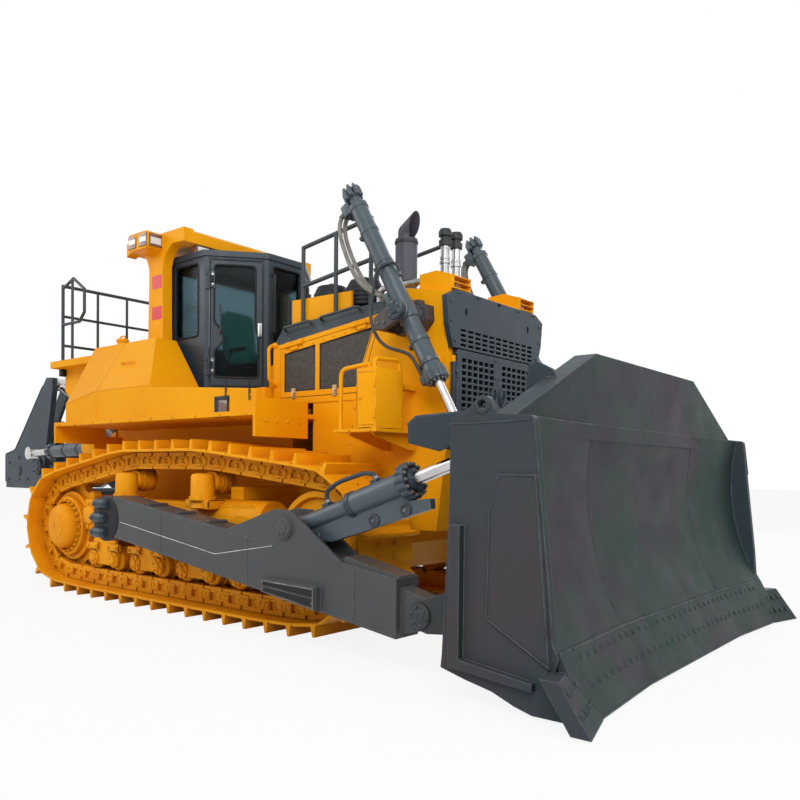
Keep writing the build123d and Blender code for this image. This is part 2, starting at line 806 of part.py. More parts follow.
def make_cleaners():
    # ribbed domes, each turned from one profile
    caps = []
    for x in cleaner_xs:
        base = crown_line(x) - 5
        tall = cleaner_top - base
        neck = 0.3 * tall
        profile = [(0, base), (0.7 * cleaner_r, base), (0.7 * cleaner_r, base + neck)]
        step = 0.5 * (tall - neck) / cleaner_ribs
        for i in range(cleaner_ribs):
            z = base + neck + 2 * i * step
            r = cleaner_r * math.cos(0.9 * (i / cleaner_ribs) ** 2)
            profile += [(r, z), (r, z + step), (r - 14, z + step), (r - 14, z + 2 * step)]
        profile.append((0, cleaner_top))
        turned = revolve(Plane.XZ * make_face(Polyline(*profile, close=True)), axis=Axis.Z)
        caps.append(Pos(x, cleaner_y, 0) * turned)
    return [cap - hood for cap in caps]


def cab_plan(inset):
    # the cab's six-sided floor plan, drawn in by an inset on every wall
    outer = [(cab_rear_x, -cab_rear_half), (cab_hip_x, -cab_hip_half), (cab_nose_x, -cab_nose_half)]
    outer += [(x, -y) for x, y in outer[::-1]]
    if inset == 0:
        return outer
    lines = []
    for i in range(len(outer)):
        (ax, ay), (bx, by) = outer[i], outer[(i + 1) % len(outer)]
        size = math.hypot(bx - ax, by - ay)
        nx, ny = -(by - ay) / size, (bx - ax) / size
        lines.append((ax + nx * inset, ay + ny * inset, (bx - ax) / size, (by - ay) / size))
    inner = []
    for i in range(len(lines)):
        ax, ay, ux, uy = lines[i - 1]
        bx, by, vx, vy = lines[i]
        t = ((bx - ax) * vy - (by - ay) * vx) / (ux * vy - uy * vx)
        inner.append((ax + ux * t, ay + uy * t))
    return inner


def wall_plane(i):
    # a wall's outer face, with its first corner at 0 and heights as they are
    outer = cab_plan(0)
    (ax, ay), (bx, by) = outer[i], outer[(i + 1) % len(outer)]
    return Plane(origin=(ax, ay, 0), x_dir=(bx - ax, by - ay, 0), z_dir=(by - ay, ax - bx, 0))


def wall_length(i):
    outer = cab_plan(0)
    return math.dist(outer[i], outer[(i + 1) % len(outer)])


def in_wall(i, face, depth0, depth1):
    return extrude(wall_plane(i).offset(-depth1) * face, amount=depth1 - depth0)


def pane(a, b, z0, z1):
    return Pos((a + b) / 2, (z0 + z1) / 2) * RectangleRounded(b - a, z1 - z0, pane_round)


def slab(a, b, z0, z1):
    return Pos((a + b) / 2, (z0 + z1) / 2) * Rectangle(b - a, z1 - z0)


def cab_windows():
    # each fixed pane's wall number and outline
    side, nose, rear = wall_length(0), wall_length(2), wall_length(5)
    return [(0, pane(0.26 * side, 0.84 * side, quarter_low, glass_high)), (2, pane(70, nose - 70, glass_low, glass_high)),
            (4, pane(0.16 * side, 0.74 * side, quarter_low, glass_high)), (5, pane(220, rear - 220, quarter_low, glass_high))]


def make_cab():
    cab = plan_form(cab_plan(0), cab_floor, cab_roof)
    cab += plan_form(cab_plan(-cab_eave), door_high + cab_eave, cab_roof)
    cab -= plan_form(cab_plan(cab_wall), cab_floor + 50, cab_roof - 60)
    for i, face in cab_windows():
        cab -= in_wall(i, face, -5, cab_wall + 5)
    door = wall_length(1)
    opening = slab(door_start, door - door_end_margin, door_low, door_high)
    hole = in_wall(1, opening, -5, cab_wall + 5)
    cab = cab - hole - flip(hole)
    x, y = door_pin()
    for z in door_hinges():
        for z0, z1 in ((z - hinge_high / 2, z - pin_gap), (z + hinge_high + pin_gap, z + 1.5 * hinge_high)):
            knuckle = in_wall(1, slab(door_start - 45, door_start, z0, z1), -pin_out, 5)
            knuckle += rod((x, y, z0), (x, y, z1), pin_out)
            cab += knuckle
            cab += flip(knuckle)
    return cab


def make_cab_glass():
    mid = cab_wall / 2
    return [in_wall(i, face, mid - glass_thick / 2, mid + glass_thick / 2) for i, face in cab_windows()]


def door_hinges():
    return door_low + hinge_inset, door_high - hinge_inset - hinge_high


def door_pane():
    # the door's window, drawn in on both edges beside the latch
    a, b = door_start + 65, wall_length(1) - door_end_margin - 65
    low, high = door_low + 120, door_high - 75
    waist = low + 0.36 * (high - low)
    points = [(a, low), (b, low), (b, waist), (b - 40, waist + 130), (b - 40, high), (a, high), (a, waist + 180),
              (a + 110, waist + 70), (a + 110, waist - 60), (a, waist - 170)]
    face = make_face(Polyline(*points, close=True))
    return fillet(face.vertices(), 0.5 * pane_round)


def door_pin():
    # the hinge line of the right door, just outside its rear edge
    spot = wall_plane(1).from_local_coords((door_start, 0, pin_out))
    return spot.X, spot.Y


def make_cab_door():
    door = wall_length(1)
    g = panel_gap
    leaf = in_wall(1, slab(door_start + g, door - door_end_margin - g, door_low + g, door_high - g), 0, cab_wall - 10)
    leaf -= in_wall(1, door_pane(), -5, cab_wall + 5)
    x, y = door_pin()
    for z in door_hinges():
        leaf += in_wall(1, slab(door_start, door_start + 60, z, z + hinge_high), -pin_out, 0)
        leaf += rod((x, y, z), (x, y, z + hinge_high), pin_out)
    return leaf


def make_door_glass():
    mid = cab_wall / 2 - 5
    return in_wall(1, door_pane(), mid - glass_thick / 2, mid + glass_thick / 2)


def make_rops():
    beam = rops_top - rops_fascia
    g = rops_gusset
    front, rear = rops_roof_front, rops_roof_rear
    # post and roof beam in one side frame, with swept gussets where they meet
    right = ThreePointArc((rops_post_front, beam - g), (rops_post_front + 0.2 * g, beam - 0.35 * g),
                          (front, beam))
    left = ThreePointArc((rear, beam), (rops_post_rear - 0.25 * g, beam - 0.3 * g), (rops_post_rear, beam - g))
    top = Polyline((front, beam), (front, rops_top), (rear, rops_top), (rear, beam))
    foot = Polyline((rops_post_rear, beam - g), (rops_post_rear - 20, tank_top_z), (rops_post_front + 10, tank_top_z),
                    (rops_post_front, beam - g))
    frame = extrude(Plane.XZ.offset(rops_inner) * make_face(right + top + left + foot), amount=rops_half - rops_inner)
    box = block(lamp_box_rear, lamp_box_front, -lamp_box_out, -rops_half + 1, lamp_box_bottom, lamp_box_top)
    box = chamfer(box.edges().filter_by(Axis.Y), 30)
    frame += box
    roof = side_form([(rear, beam + 40), (front, beam), (front, rops_top - 40), (front - 60, rops_top),
                      (rear + 60, rops_top), (rear, rops_top - 40)], -rops_half, rops_half)
    return roof + frame + flip(frame)


def make_seat():
    rear = seat_front_x - seat_deep
    back = seat_top + seat_back_share * (cab_roof - seat_top)
    seat = block(rear, seat_front_x, -seat_half, seat_half, seat_top - 130, seat_top)
    seat += side_form([(rear - 70, seat_top - 90), (rear + 70, seat_top - 90), (rear - 40, back),
                       (rear - 160, back)], -seat_half + 20, seat_half - 20)
    seat += block(rear + 110, seat_front_x - 110, -seat_half + 110, seat_half - 110, cab_floor + 50, seat_top - 120)
    console = side_form([(console_x, cab_floor + 50), (console_x + console_deep, cab_floor + 50),
                         (console_x + console_deep, console_top), (console_x + 20, console_top - 60)],
                        -console_half, console_half)
    return [seat, console]


def tank_section(x, knee, shrink):
    side, top = fender_half - 20, tank_top_half
    points = [(-tank_inner, fender_z - 5), (-side, fender_z - 5), (-side, knee), (-top, tank_top_z - shrink),
              (-tank_inner, tank_top_z - shrink)]
    return Plane.YZ.offset(x) * make_face(Polyline(*points, close=True))


def make_fender():
    side = fender_half - 20
    deck = block(fender_rear_x, fender_front_x, -fender_half, -hull_half, fender_z - fender_thick, fender_z)
    deck += block(fender_rear_x, fender_rear_x + 35, -fender_half, -tank_inner, fender_z - fender_skirt, fender_z)
    deck += block(fender_front_x - 40, fender_front_x, -fender_half, -tank_inner, fender_z - fender_skirt, walk_z)
    # the tank's knee line drops behind the bend
    tank = loft([tank_section(tank_rear_x, tank_rear_knee_z, 0), tank_section(tank_bend_x, tank_knee_z, 0)], ruled=True)
    tank += loft([tank_section(tank_bend_x, tank_knee_z, 0), tank_section(tank_front_x, tank_knee_z, 0)], ruled=True)
    tank -= side_form([(tank_top_front_x, tank_top_z + 1), (tank_front_x + 1, tank_top_z + 1),
                       (tank_front_x + 1, tank_knee_z), (tank_front_x, tank_knee_z)], -side - 1, -tank_inner + 1)
    curb = side_form([(tank_front_x - 5, fender_z - 5), (fender_front_x - 20, fender_z - 5), (fender_front_x - 20, curb_front_z),
                      (tank_front_x - 5, curb_rear_z)], -side, curb_thick - side)
    floor = block(tank_front_x - 5, fender_front_x - 20, -side, -tank_inner, fender_z - 5, walk_z)
    step = block(tank_top_front_x, hood_rear_x - 20, -tank_inner - 5, -hull_half, fender_z - 5, cab_floor - 30)
    step -= plan_form(cab_plan(cab_wall), fender_z, cab_floor)
    return deck + tank + curb + floor + step


def make_rear_tank():
    drop = (deck_top + hull_deck_z) / 2 + 65
    front = cab_rear_x - 60
    tank = side_form([(front, hull_deck_z), (front, deck_top), (deck_rear_x + 120, deck_top), (deck_rear_x + 60, deck_top - 120),
                      (deck_rear_x + 60, drop), (hull_rear_x - 300, hull_deck_z + 230), (hull_rear_x, hull_deck_z)],
                     -tank_inner, tank_inner)
    return tank + block(deck_rear_x, deck_front_x, -deck_half, deck_half, deck_top - deck_thick, deck_top)


def make_rear_rails():
    low, mid, high = rear_rail_zs
    y, x = rear_rail_y, rear_rail_x
    # bars and hoops are a little thinner than the frame that they meet
    bar, bow = 0.82 * rail_r, 0.9 * rail_r
    rail = pipe([(x, -y, deck_top), (x, -y, high), (x, y, high), (x, y, deck_top)], rail_r)
    for z in (low, mid):
        rail += rod((x, -y, z), (x, y, z), bar)
    for post in sorted({side * p for p in rear_post_ys for side in (-1, 1)}):
        rail += rod((x, post, deck_top), (x, post, high), bar)
    for side in (-1, 1):
        hoop = pipe([(x, side * y, high - 40), (x + 0.5 * (hoop_front_x - x), side * y, high + 70),
                     (hoop_front_x, side * y, high - 120), (hoop_front_x, side * y, hoop_low_z + 120),
                     (hoop_front_x - 130, side * y, hoop_low_z), (x, side * y, hoop_low_z)], bow)
        hoop += rod((x + 0.45 * (hoop_front_x - x), side * y, deck_top),
                    (x + 0.45 * (hoop_front_x - x), side * y, high + 62), bar)
        rail += hoop
    return [rail]


def make_hood_rails():
    rails = []
    for side in (-1, 1):
        y = side * (hood_rail_y + side_plate_thick + rail_r)
        top = []
        for x in (hood_rail_rear_x, hood_rail_mid_x, hood_rail_front_x):
            top.append((x, y, hood_rail_z + hood_rail_rise * (x - hood_rail_rear_x)))
        rail = pipe([(hood_rail_rear_x, y, crown_line(hood_rail_rear_x))] + top
                    + [(hood_rail_front_x, y, crown_line(hood_rail_front_x))], rail_r)
        rail += rod((hood_rail_mid_x, y, crown_line(hood_rail_mid_x)), top[1], rail_r)
        drop = 0.5 * (hood_rail_z - crown_line(hood_rail_rear_x))
        rail += rod((top[0][0], y, top[0][2] - drop), (top[2][0], y, top[2][2] - drop), rail_r)
        rails.append(rail - hood)
    return rails


def make_lamps():
    lamps = []
    for side in (-1, 1):
        lo, hi = sorted((side * lamp_in, side * lamp_out))
        x0, x1 = guard_front_x - lamp_deep, guard_front_x
        shell = side_form([(x0, guard_top), (x1, guard_top - 20), (x1, guard_top + 0.74 * lamp_high),
                           (x1 - 170, guard_top + lamp_high), (x0, guard_top + lamp_high - 15)], lo, hi)
        shell -= block(x1 - 130, x1 + 1, lo + 22, hi - 22, guard_top + 60, guard_top + 0.66 * lamp_high)
        lamps.append(shell - guard)
    return lamps


def make_yoke():
    x, z, r = lift_x, lift_z, lift_pin_r
    outline = [(x - 260, z - 230), (x + 60, z - 190), (x + 170, z - 60), (x + 150, z + 110), (x, z + 170), (x - 190, z + 90),
               (x - 300, z - 120)]
    free = lift_barrel_r + lift_collar + lug_gap
    wall = guard_half - (guard_half - guard_front_half) * (x + 170 - guard_rear_x) / (guard_front_x - guard_rear_x)
    inner = side_form(outline, -lift_y + free, -wall + 5)
    outer = side_form(outline, -lift_y - free - lug_thick, -lift_y - free)
    bridge = block(x - 290, x - 195, -lift_y - free - lug_thick, -wall + 5, z - 220, z - 100)
    yoke = inner + outer + bridge - across(x, z, -lift_y - 2 * free, -lift_y + free + 60, r + pin_gap)
    return yoke - guard


def along(x0, z0, x1, z1):
    size = math.hypot(x1 - x0, z1 - z0)
    return (x1 - x0) / size, (z1 - z0) / size, size


def on_line(x0, z0, x1, z1, y):
    ux, uz, size = along(x0, z0, x1, z1)

    def at(s):
        return (x0 + ux * s, y, z0 + uz * s)

    return at, size


def make_lift_barrel():
    at, size = on_line(lift_x, lift_z, lift_eye_x, lift_eye_z, -lift_y)
    r = lift_barrel_r
    free = r + lift_collar + lug_gap
    barrel = rod(at(-lift_up), at(lift_down), r)
    barrel += rod(at(-lift_up - lift_head), at(-lift_up + 1), 0.72 * r)
    barrel += rod(at(-lift_up - lift_head), at(-lift_up - lift_head + 85), 0.95 * r)
    barrel += rod(at(lift_down - 120), at(lift_down), r + lift_flange)
    barrel += rod(at(-90), at(90), r + lift_collar)
    barrel += across(lift_x, lift_z, -lift_y - free - lug_thick, -lift_y + free + 40, lift_pin_r)
    return barrel - rod(at(-lift_up - 60), at(lift_down + 1), lift_rod_r + rod_gap)


def make_lift_rod():
    at, size = on_line(lift_x, lift_z, lift_eye_x, lift_eye_z, -lift_y)
    stem = rod(at(-lift_tail), at(size - 60), lift_rod_r)
    stem += across(lift_eye_x, lift_eye_z, -lift_y - 70, -lift_y + 70, lift_eye_r)
    return stem + across(lift_eye_x, lift_eye_z, -lift_y - 70 - eye_play, -lift_y + 70 + eye_play, 60)


def make_tilt_barrel():
    at, size = on_line(tilt_x, tilt_z, tilt_eye_x, tilt_eye_z, -arm_y)
    r, end = tilt_barrel_r, tilt_barrel_len
    barrel = rod(at(60), at(tilt_neck_end), tilt_neck_r)
    ux, uz, _ = along(tilt_x, tilt_z, tilt_eye_x, tilt_eye_z)
    barrel += Solid.make_cone(tilt_neck_r, r, 90, Plane(origin=at(tilt_neck_end - 90), z_dir=(ux, 0, uz)))
    barrel += rod(at(tilt_neck_end - 1), at(end), r)
    barrel += rod(at(end - 75), at(end), r + tilt_flange)
    barrel += across(tilt_x, tilt_z, -arm_y - 75, -arm_y + 75, 115)
    # the bent skid plate that hangs under the barrel
    skid = []
    for s, drop in ((90, 60), (150, 1.25 * tilt_skid), (420, 1.85 * tilt_skid), (end + 110, 2.1 * tilt_skid),
                    (end + 130, 1.5 * tilt_skid), (end - 90, 1.12 * tilt_skid), (end - 90, 40)):
        x, _, z = at(s)
        skid.append((x + uz * drop, z - ux * drop))
    barrel += side_form(skid, -arm_y - 32, -arm_y + 32)
    barrel -= rod(at(180), at(end + 1), tilt_rod_r + rod_gap)
    return barrel - across(tilt_x, tilt_z, -arm_y - 80, -arm_y + 80, tilt_pin_r + pin_gap)


def make_tilt_rod():
    at, size = on_line(tilt_x, tilt_z, tilt_eye_x, tilt_eye_z, -arm_y)
    stem = rod(at(420), at(size - 50), tilt_rod_r)
    stem += across(tilt_eye_x, tilt_eye_z, -arm_y - 65, -arm_y + 65, 100)
    return stem + across(tilt_eye_x, tilt_eye_z, -arm_y - 65 - eye_play, -arm_y + 65 + eye_play, 50)


def make_push_arm():
    y0, y1 = -arm_y - arm_half, -arm_y + arm_half
    rear, front = trunnion_x + 150, pitch_x - 240
    low, high = trunnion_z - arm_rear_low, trunnion_z + arm_rear_high
    outline = [(rear, low), (front, pitch_z - arm_front_low), (front, pitch_z + arm_front_high), (rear, high)]
    arm = side_form(outline, y0, y1)
    arm += across(trunnion_x, trunnion_z, y0, y1, arm_rear_high)
    arm += side_form([(front - 60, pitch_z - 190), (pitch_x, pitch_z - 125), (pitch_x, pitch_z + 125),
                      (front - 60, pitch_z + 200)], -arm_y - arm_tongue, -arm_y + arm_tongue)
    arm += across(pitch_x, pitch_z, -arm_y - arm_tongue, -arm_y + arm_tongue, 125)
    slope = (pitch_z + arm_front_high - high) / (front - rear)
    fall = (pitch_z - arm_front_low - low) / (front - rear)

    def deck(x):
        return high + slope * (x - rear)

    # brackets for the tilt cylinder, a wedge cover ahead of them and a step on the outer face
    for y in (y0, y1 - 32):
        arm += side_form([(tilt_x - 830, deck(tilt_x - 830) - 10), (tilt_x + 700, deck(tilt_x + 700) - 10),
                          (tilt_x + 110, tilt_z + 130), (tilt_x + 60, tilt_z + 165), (tilt_x - 140, tilt_z + 170)],
                         y, y + 32)
    arm += across(tilt_x, tilt_z, y0 - 25, y1, tilt_pin_r)
    arm += across(tilt_x, tilt_z, y0 - 25, y0 + 5, 95)
    arm += side_form([(front - 640, deck(front - 640) - 10), (front - 5, deck(front - 5) - 10),
                      (front - 5, deck(front - 5) + 15), (front - 560, deck(front - 560) + 55)], y0 + 35, y1 - 35)
    foot = tilt_x + 100
    arm += side_form([(foot - 340, low + fall * (foot - 340 - rear) + 15), (foot + 340, low + fall * (foot + 340 - rear) + 15),
                      (foot + 340, low + fall * (foot - rear) + 170), (foot - 340, low + fall * (foot - rear) + 185)],
                     y0 - 62, y0 + 5)
    arm -= across(pitch_x, pitch_z, -arm_y - 90, -arm_y + 90, pitch_r + pin_gap)
    return arm - across(trunnion_x, trunnion_z, y0 - 1, y1 + 1, trunnion_r + pin_gap)


def blade_section(y):
    front = ThreePointArc((blade_seam_x, blade_seam_z), (blade_mid_x, (blade_seam_z + blade_top_z) / 2),
                          (blade_top_x, blade_top_z))
    back = Polyline((blade_top_x, blade_top_z), (blade_top_x - 70, blade_top_z), (blade_back_x + 130, blade_top_z - 200),
                    (blade_back_x, blade_top_z - 650), (blade_back_x - 20, blade_seam_z),
                    (blade_back_x + 120, blade_seam_z - 100), (blade_seam_x - 30, blade_seam_z - 100),
                    (blade_seam_x, blade_seam_z))
    return Plane.XZ.offset(-y) * make_face(front + back)


def wing_shift(y):
    return wing_sweep * max(0.0, abs(y) - blade_centre_half) / (blade_half - blade_centre_half)


def slanted(tip, rise, lean, thick, y):
    # the section of a cutting plate that leans back from its tip
    points = [(tip, edge_bottom), (tip - lean, edge_bottom + rise), (tip - lean - thick, edge_bottom + rise),
              (tip - thick, edge_bottom)]
    return (Plane.XZ.offset(-y) * make_face(Polyline(*points, close=True))).face()


def make_edges():
    run = blade_half - blade_centre_half
    rise = blade_seam_z + 30 - edge_bottom
    lean = edge_tip_x - blade_seam_x + 5
    section = slanted(edge_tip_x, rise, lean, edge_thick, -blade_centre_half)
    edges = Solid.extrude(section, Vector(0, 2 * blade_centre_half, 0))
    wing = Solid.extrude(section, Vector(wing_sweep * 0.98, -run * 0.98, 0))
    start = blade_half - bit_lap
    tip = edge_tip_x + wing_shift(start) + 8
    lean_bit = lean * bit_rise / rise + 60
    bit = Solid.extrude(slanted(tip, bit_rise, lean_bit, bit_thick, -start), Vector(front_x - tip, start - bit_half, 0))
    return edges + wing + flip(wing) + bit + flip(bit)


def make_end_plate():
    back, top_x, seam_x = blade_back_x + wing_sweep, blade_top_x + wing_sweep, blade_seam_x + wing_sweep
    top, seam, low = blade_top_z, blade_seam_z, edge_bottom
    outline = [(back - 208, top - 2), (back - 220, top - 715), (back - 267, seam - 112), (back - 277, seam - 202),
               (back - 77, seam - 254), (back + 143, seam - 299), (seam_x - 315, low + 34), (seam_x - 186, low),
               (seam_x + 41, low), (seam_x - 32, seam - 118), (seam_x - 65, seam + 337), (top_x + 105, top - 395),
               (top_x + 68, top - 26), (top_x + 46, top - 6), (top_x - 206, top + 17), (eye_x + 60, eye_z + 30),
               (eye_x - 60, eye_z + 30), (back - 61, top + 60)]
    inner = end_thick - blade_half
    end = side_form(outline, -blade_half, inner)
    end += across(eye_x, eye_z, -blade_half, inner, eye_r + 34)
    # a welded angle behind and a raised wear plate on the outer face
    end += side_form([(back - 180, seam - 180), (back - 90, seam - 180), (back - 90, top - 745), (back - 180, top - 745)],
                     -blade_half - 60, 5 - blade_half)
    end += side_form([(back - 95, seam - 180), (seam_x - 160, low + 170), (seam_x - 160, low + 220), (back - 95, seam - 110)],
                     -blade_half - 60, 5 - blade_half)
    end += side_form([(top_x - 189, top - 391), (top_x + 90, top - 395), (seam_x - 60, seam - 70), (back + 102, seam + 185),
                      (back + 116, top - 665)], -blade_half - 15, 5 - blade_half)
    return end - across(eye_x, eye_z, -blade_half - 70, inner + 10, eye_r)


def make_spill():
    base = blade_half - 30
    x1 = blade_top_x - 2
    x0 = x1 - spill_thick
    wall = cross_form([(-base, blade_top_z - 120), (base, blade_top_z - 120), (base, blade_top_z), (spill_top_half, spill_top_z),
                        (-spill_top_half, spill_top_z), (-base, blade_top_z)], x0, x1)
    wall += block(x1 - spill_flange, x1, -spill_top_half, spill_top_half, spill_top_z - spill_bar, spill_top_z)
    rise = spill_top_z - blade_top_z
    run = base - spill_top_half
    size = math.hypot(rise, run)
    ny, nz = 40 * rise / size, 40 * run / size
    ear = [(x1 - 75, blade_top_z + 325), (x1 - 125, blade_top_z + 395), (x1 - 255, blade_top_z + 465),
           (x1 - 325, blade_top_z + 435), (x1 - 345, blade_top_z + 225), (x1 - 225, blade_top_z + 75),
           (x1 - 75, blade_top_z - 60)]
    for side in (-1, 1):
        edge = [(side * base, blade_top_z), (side * spill_top_half, spill_top_z),
                (side * (spill_top_half - ny), spill_top_z - nz), (side * (base - ny), blade_top_z - nz)]
        wall += cross_form(edge, x1 - spill_flange, x1)
        y = side * ear_y
        wall += side_form(ear, y - ear_thick / 2, y + ear_thick / 2)
        wall += block(x1 - 76, x1 - 10, y - ear_thick / 2, y + ear_thick / 2, blade_top_z - 60, blade_top_z + 300)
    return wall


def make_blade():
    run = blade_half - blade_centre_half
    section = blade_section(-blade_centre_half).face()
    centre = Solid.extrude(section, Vector(0, 2 * blade_centre_half, 0))
    wing = Solid.extrude(section, Vector(wing_sweep, -run, 0))
    board = centre + wing + flip(wing) + make_spill()
    end = make_end_plate()
    return board + end + flip(end) - make_edges()


def make_blade_lugs():
    # lugs behind the blade: two for each push arm, each tilt rod and each lift rod
    reach = blade_back_x + 60 + wing_sweep
    arm = [(reach, blade_seam_z + 10), (pitch_x + 60, pitch_z - 130), (pitch_x - 90, pitch_z - 90), (pitch_x - 125, pitch_z),
           (pitch_x - 90, pitch_z + 90), (pitch_x + 40, pitch_z + 135), (reach, pitch_z + 380)]
    tilt = [(reach, tilt_eye_z - 200), (tilt_eye_x, tilt_eye_z - 95), (tilt_eye_x - 90, tilt_eye_z - 30),
            (tilt_eye_x - 90, tilt_eye_z + 30), (tilt_eye_x, tilt_eye_z + 95), (reach + 90, tilt_eye_z + 130)]
    lift = [(reach, lift_eye_z - 260), (lift_eye_x, lift_eye_z - 110), (lift_eye_x - 105, lift_eye_z - 40),
            (lift_eye_x - 105, lift_eye_z + 40), (lift_eye_x, lift_eye_z + 110), (reach, lift_eye_z + 330)]
    far = arm_tongue + lug_gap
    yoke = side_form(arm, -arm_y - far - lug_thick, -arm_y - far)
    yoke += side_form(arm, -arm_y + far, -arm_y + far + lug_thick)
    yoke += across(pitch_x, pitch_z, -arm_y - far - lug_thick - 10, -arm_y + far + lug_thick + 10, pitch_r)
    lugs = [yoke]
    for outline, y, play in ((tilt, -arm_y, tilt_eye_half), (lift, -lift_y, lift_eye_half)):
        near = play + eye_play + lug_gap
        lugs.append(side_form(outline, y - near - lug_thick, y - near))
        lugs.append(side_form(outline, y + near, y + near + lug_thick))
    return [lug - blade for lug in lugs]


def make_ripper_arm():
    ux, uz, size = along(rip_a_x, rip_a_z, rip_b_x, rip_b_z)
    arm = None
    for side in (-1, 1):
        lo, hi = sorted((side * rip_arm_in, side * rip_arm_out))
        leg = side_form([(rip_a_x + uz * -150, rip_a_z + ux * 150 * -1), (rip_b_x + uz * -130, rip_b_z + ux * 130 * -1),
                         (rip_b_x + uz * 130, rip_b_z + ux * 130), (rip_a_x + uz * 150, rip_a_z + ux * 150)], lo, hi)
        leg += across(rip_a_x, rip_a_z, lo, hi, 150)
        leg += across(rip_b_x, rip_b_z, lo, hi, 130)
        leg -= across(rip_a_x, rip_a_z, lo - 1, hi + 1, rip_a_r + pin_gap)
        leg -= across(rip_b_x, rip_b_z, lo - 1, hi + 1, rip_pin_r + pin_gap)
        arm = leg if arm is None else arm + leg
    mid = (rip_a_x + ux * size * 0.5, rip_a_z + uz * size * 0.5)
    return arm + across(mid[0], mid[1], -rip_arm_in - 5, rip_arm_in + 5, 125)


def make_ripper_pin():
    return across(rip_b_x, rip_b_z, -rip_plate_out + 20, rip_plate_out - 20, rip_pin_r)


def make_ripper_beam():
    deep = rip_rear_x + rip_beam_deep
    beam = block(rip_rear_x, deep, -rip_plate_out + 20, rip_plate_out - 20, rip_beam_low, rip_beam_high)
    plate = [(rip_d_x + 160, rip_d_z + 90), (rip_d_x - 20, rip_d_z + 100), (rip_rear_x + 340, rip_beam_high + 70),
             (rip_rear_x, rip_beam_high), (rip_rear_x, rip_beam_low + 110), (rip_rear_x + 190, rip_beam_low),
             (rip_b_x - 190, rip_b_z - 370), (rip_b_x + 120, rip_b_z - 260), (rip_b_x + 190, rip_b_z - 60),
             (rip_d_x + 170, rip_d_z - 90)]
    lug = [(rip_d_x + 110, rip_d_z - 70), (rip_d_x + 110, rip_d_z + 70), (rip_d_x - 60, rip_d_z + 100),
           (deep - 330, rip_beam_high - 20), (deep - 20, rip_beam_high - 20)]
    for side in (-1, 1):
        lo, hi = sorted((side * rip_plate_in, side * rip_plate_out))
        beam += side_form(plate, lo, hi)
        y = side * (rip_tilt_y - 65 - lug_gap - 75)
        lo, hi = sorted((y, y + side * 50))
        beam += side_form(lug, lo, hi)
    beam -= across(rip_b_x, rip_b_z, -rip_plate_out - 1, rip_plate_out + 1, rip_pin_r + pin_gap)
    return beam - block(shank_x - shank_half_x, shank_x + shank_half_x, -shank_half_y - shank_gap, shank_half_y + shank_gap,
                        rip_beam_low - 100, rip_beam_high + 100)


def make_shank():
    x0, x1 = shank_x - shank_half_x, shank_x + shank_half_x
    z = shank_tip_z
    waist = rip_beam_low - 10
    return side_form([(x0, shank_top_z), (x0, waist), (x0 + 80, z + 330), (x1 + 40, z), (x1 + 190, z - 60), (x1 + 120, z + 110),
                      (x1 + 20, z + 420), (x1, waist), (x1, shank_top_z)], -shank_half_y, shank_half_y)


def make_cylinder(ends, y, barrel_len, tail, pin_y0, pin_y1):
    # a plain cylinder: its barrel turns on a pin, and its rod's eye carries a short pin of its own
    x0, z0, x1, z1 = ends
    at, size = on_line(x0, z0, x1, z1, y)
    eye = rip_eye_r
    barrel = rod(at(eye - 20), at(barrel_len), rip_barrel_r)
    barrel += rod(at(barrel_len - 90), at(barrel_len), rip_barrel_r + 18)
    barrel += across(x0, z0, y - 70, y + 70, eye)
    barrel -= rod(at(eye + 60), at(barrel_len + 1), rip_rod_r + rod_gap)
    barrel -= across(x0, z0, y - 80, y + 80, rip_eye_pin_r + pin_gap)
    stem = rod(at(tail), at(size - eye / 2), rip_rod_r)
    stem += across(x1, z1, y - 65, y + 65, eye)
    return barrel, stem + across(x1, z1, pin_y0, pin_y1, rip_eye_pin_r)


def make_steps():
    # a boarding box beside the guard, with a bent side plate, a tread and a grab hoop
    inner = guard_half - (guard_half - guard_front_half) * 0.1
    plate = [(step_rear_x, step_bottom), (step_rear_x + 260, step_bottom), (step_front_x - 60, step_bottom + 270),
             (step_front_x, step_top - 60), (step_front_x - 60, step_top), (step_rear_x, step_top)]
    box = side_form(plate, -step_out, -step_out + step_thick)
    box += block(step_rear_x, step_rear_x + 55, -step_out + 5, -inner, step_bottom + 130, step_bottom + 190)
    box += block(step_rear_x, step_front_x - 300, -step_out + 5, -inner, step_tread_z, step_tread_z + 40)
    hoop_y = -step_out + step_thick / 2
    box += pipe([(step_rear_x + 90, hoop_y, step_top - 5), (step_rear_x + 90, hoop_y, step_top + 360),
                 (step_rear_x + 330, hoop_y, step_top + 360), (step_rear_x + 330, hoop_y, step_top - 5)], rail_r)
    return [box - guard]


front_x = edge_tip_x + wing_sweep + bit_reach
hood = make_hood()
guard = make_guard()
blade = make_blade()
rip_tilt = make_cylinder((rip_c_x, rip_c_z, rip_d_x, rip_d_z), -rip_tilt_y, rip_tilt_len, 420,
                         eye_play - rip_plate_in, -rip_tilt_y + 65 + eye_play)
rip_lift = make_cylinder((rip_e_x, rip_e_z, rip_f_x, rip_f_z), -rip_lift_y, rip_lift_len, 300,
                         -rip_lift_y - 65, -rip_plate_out - eye_play)

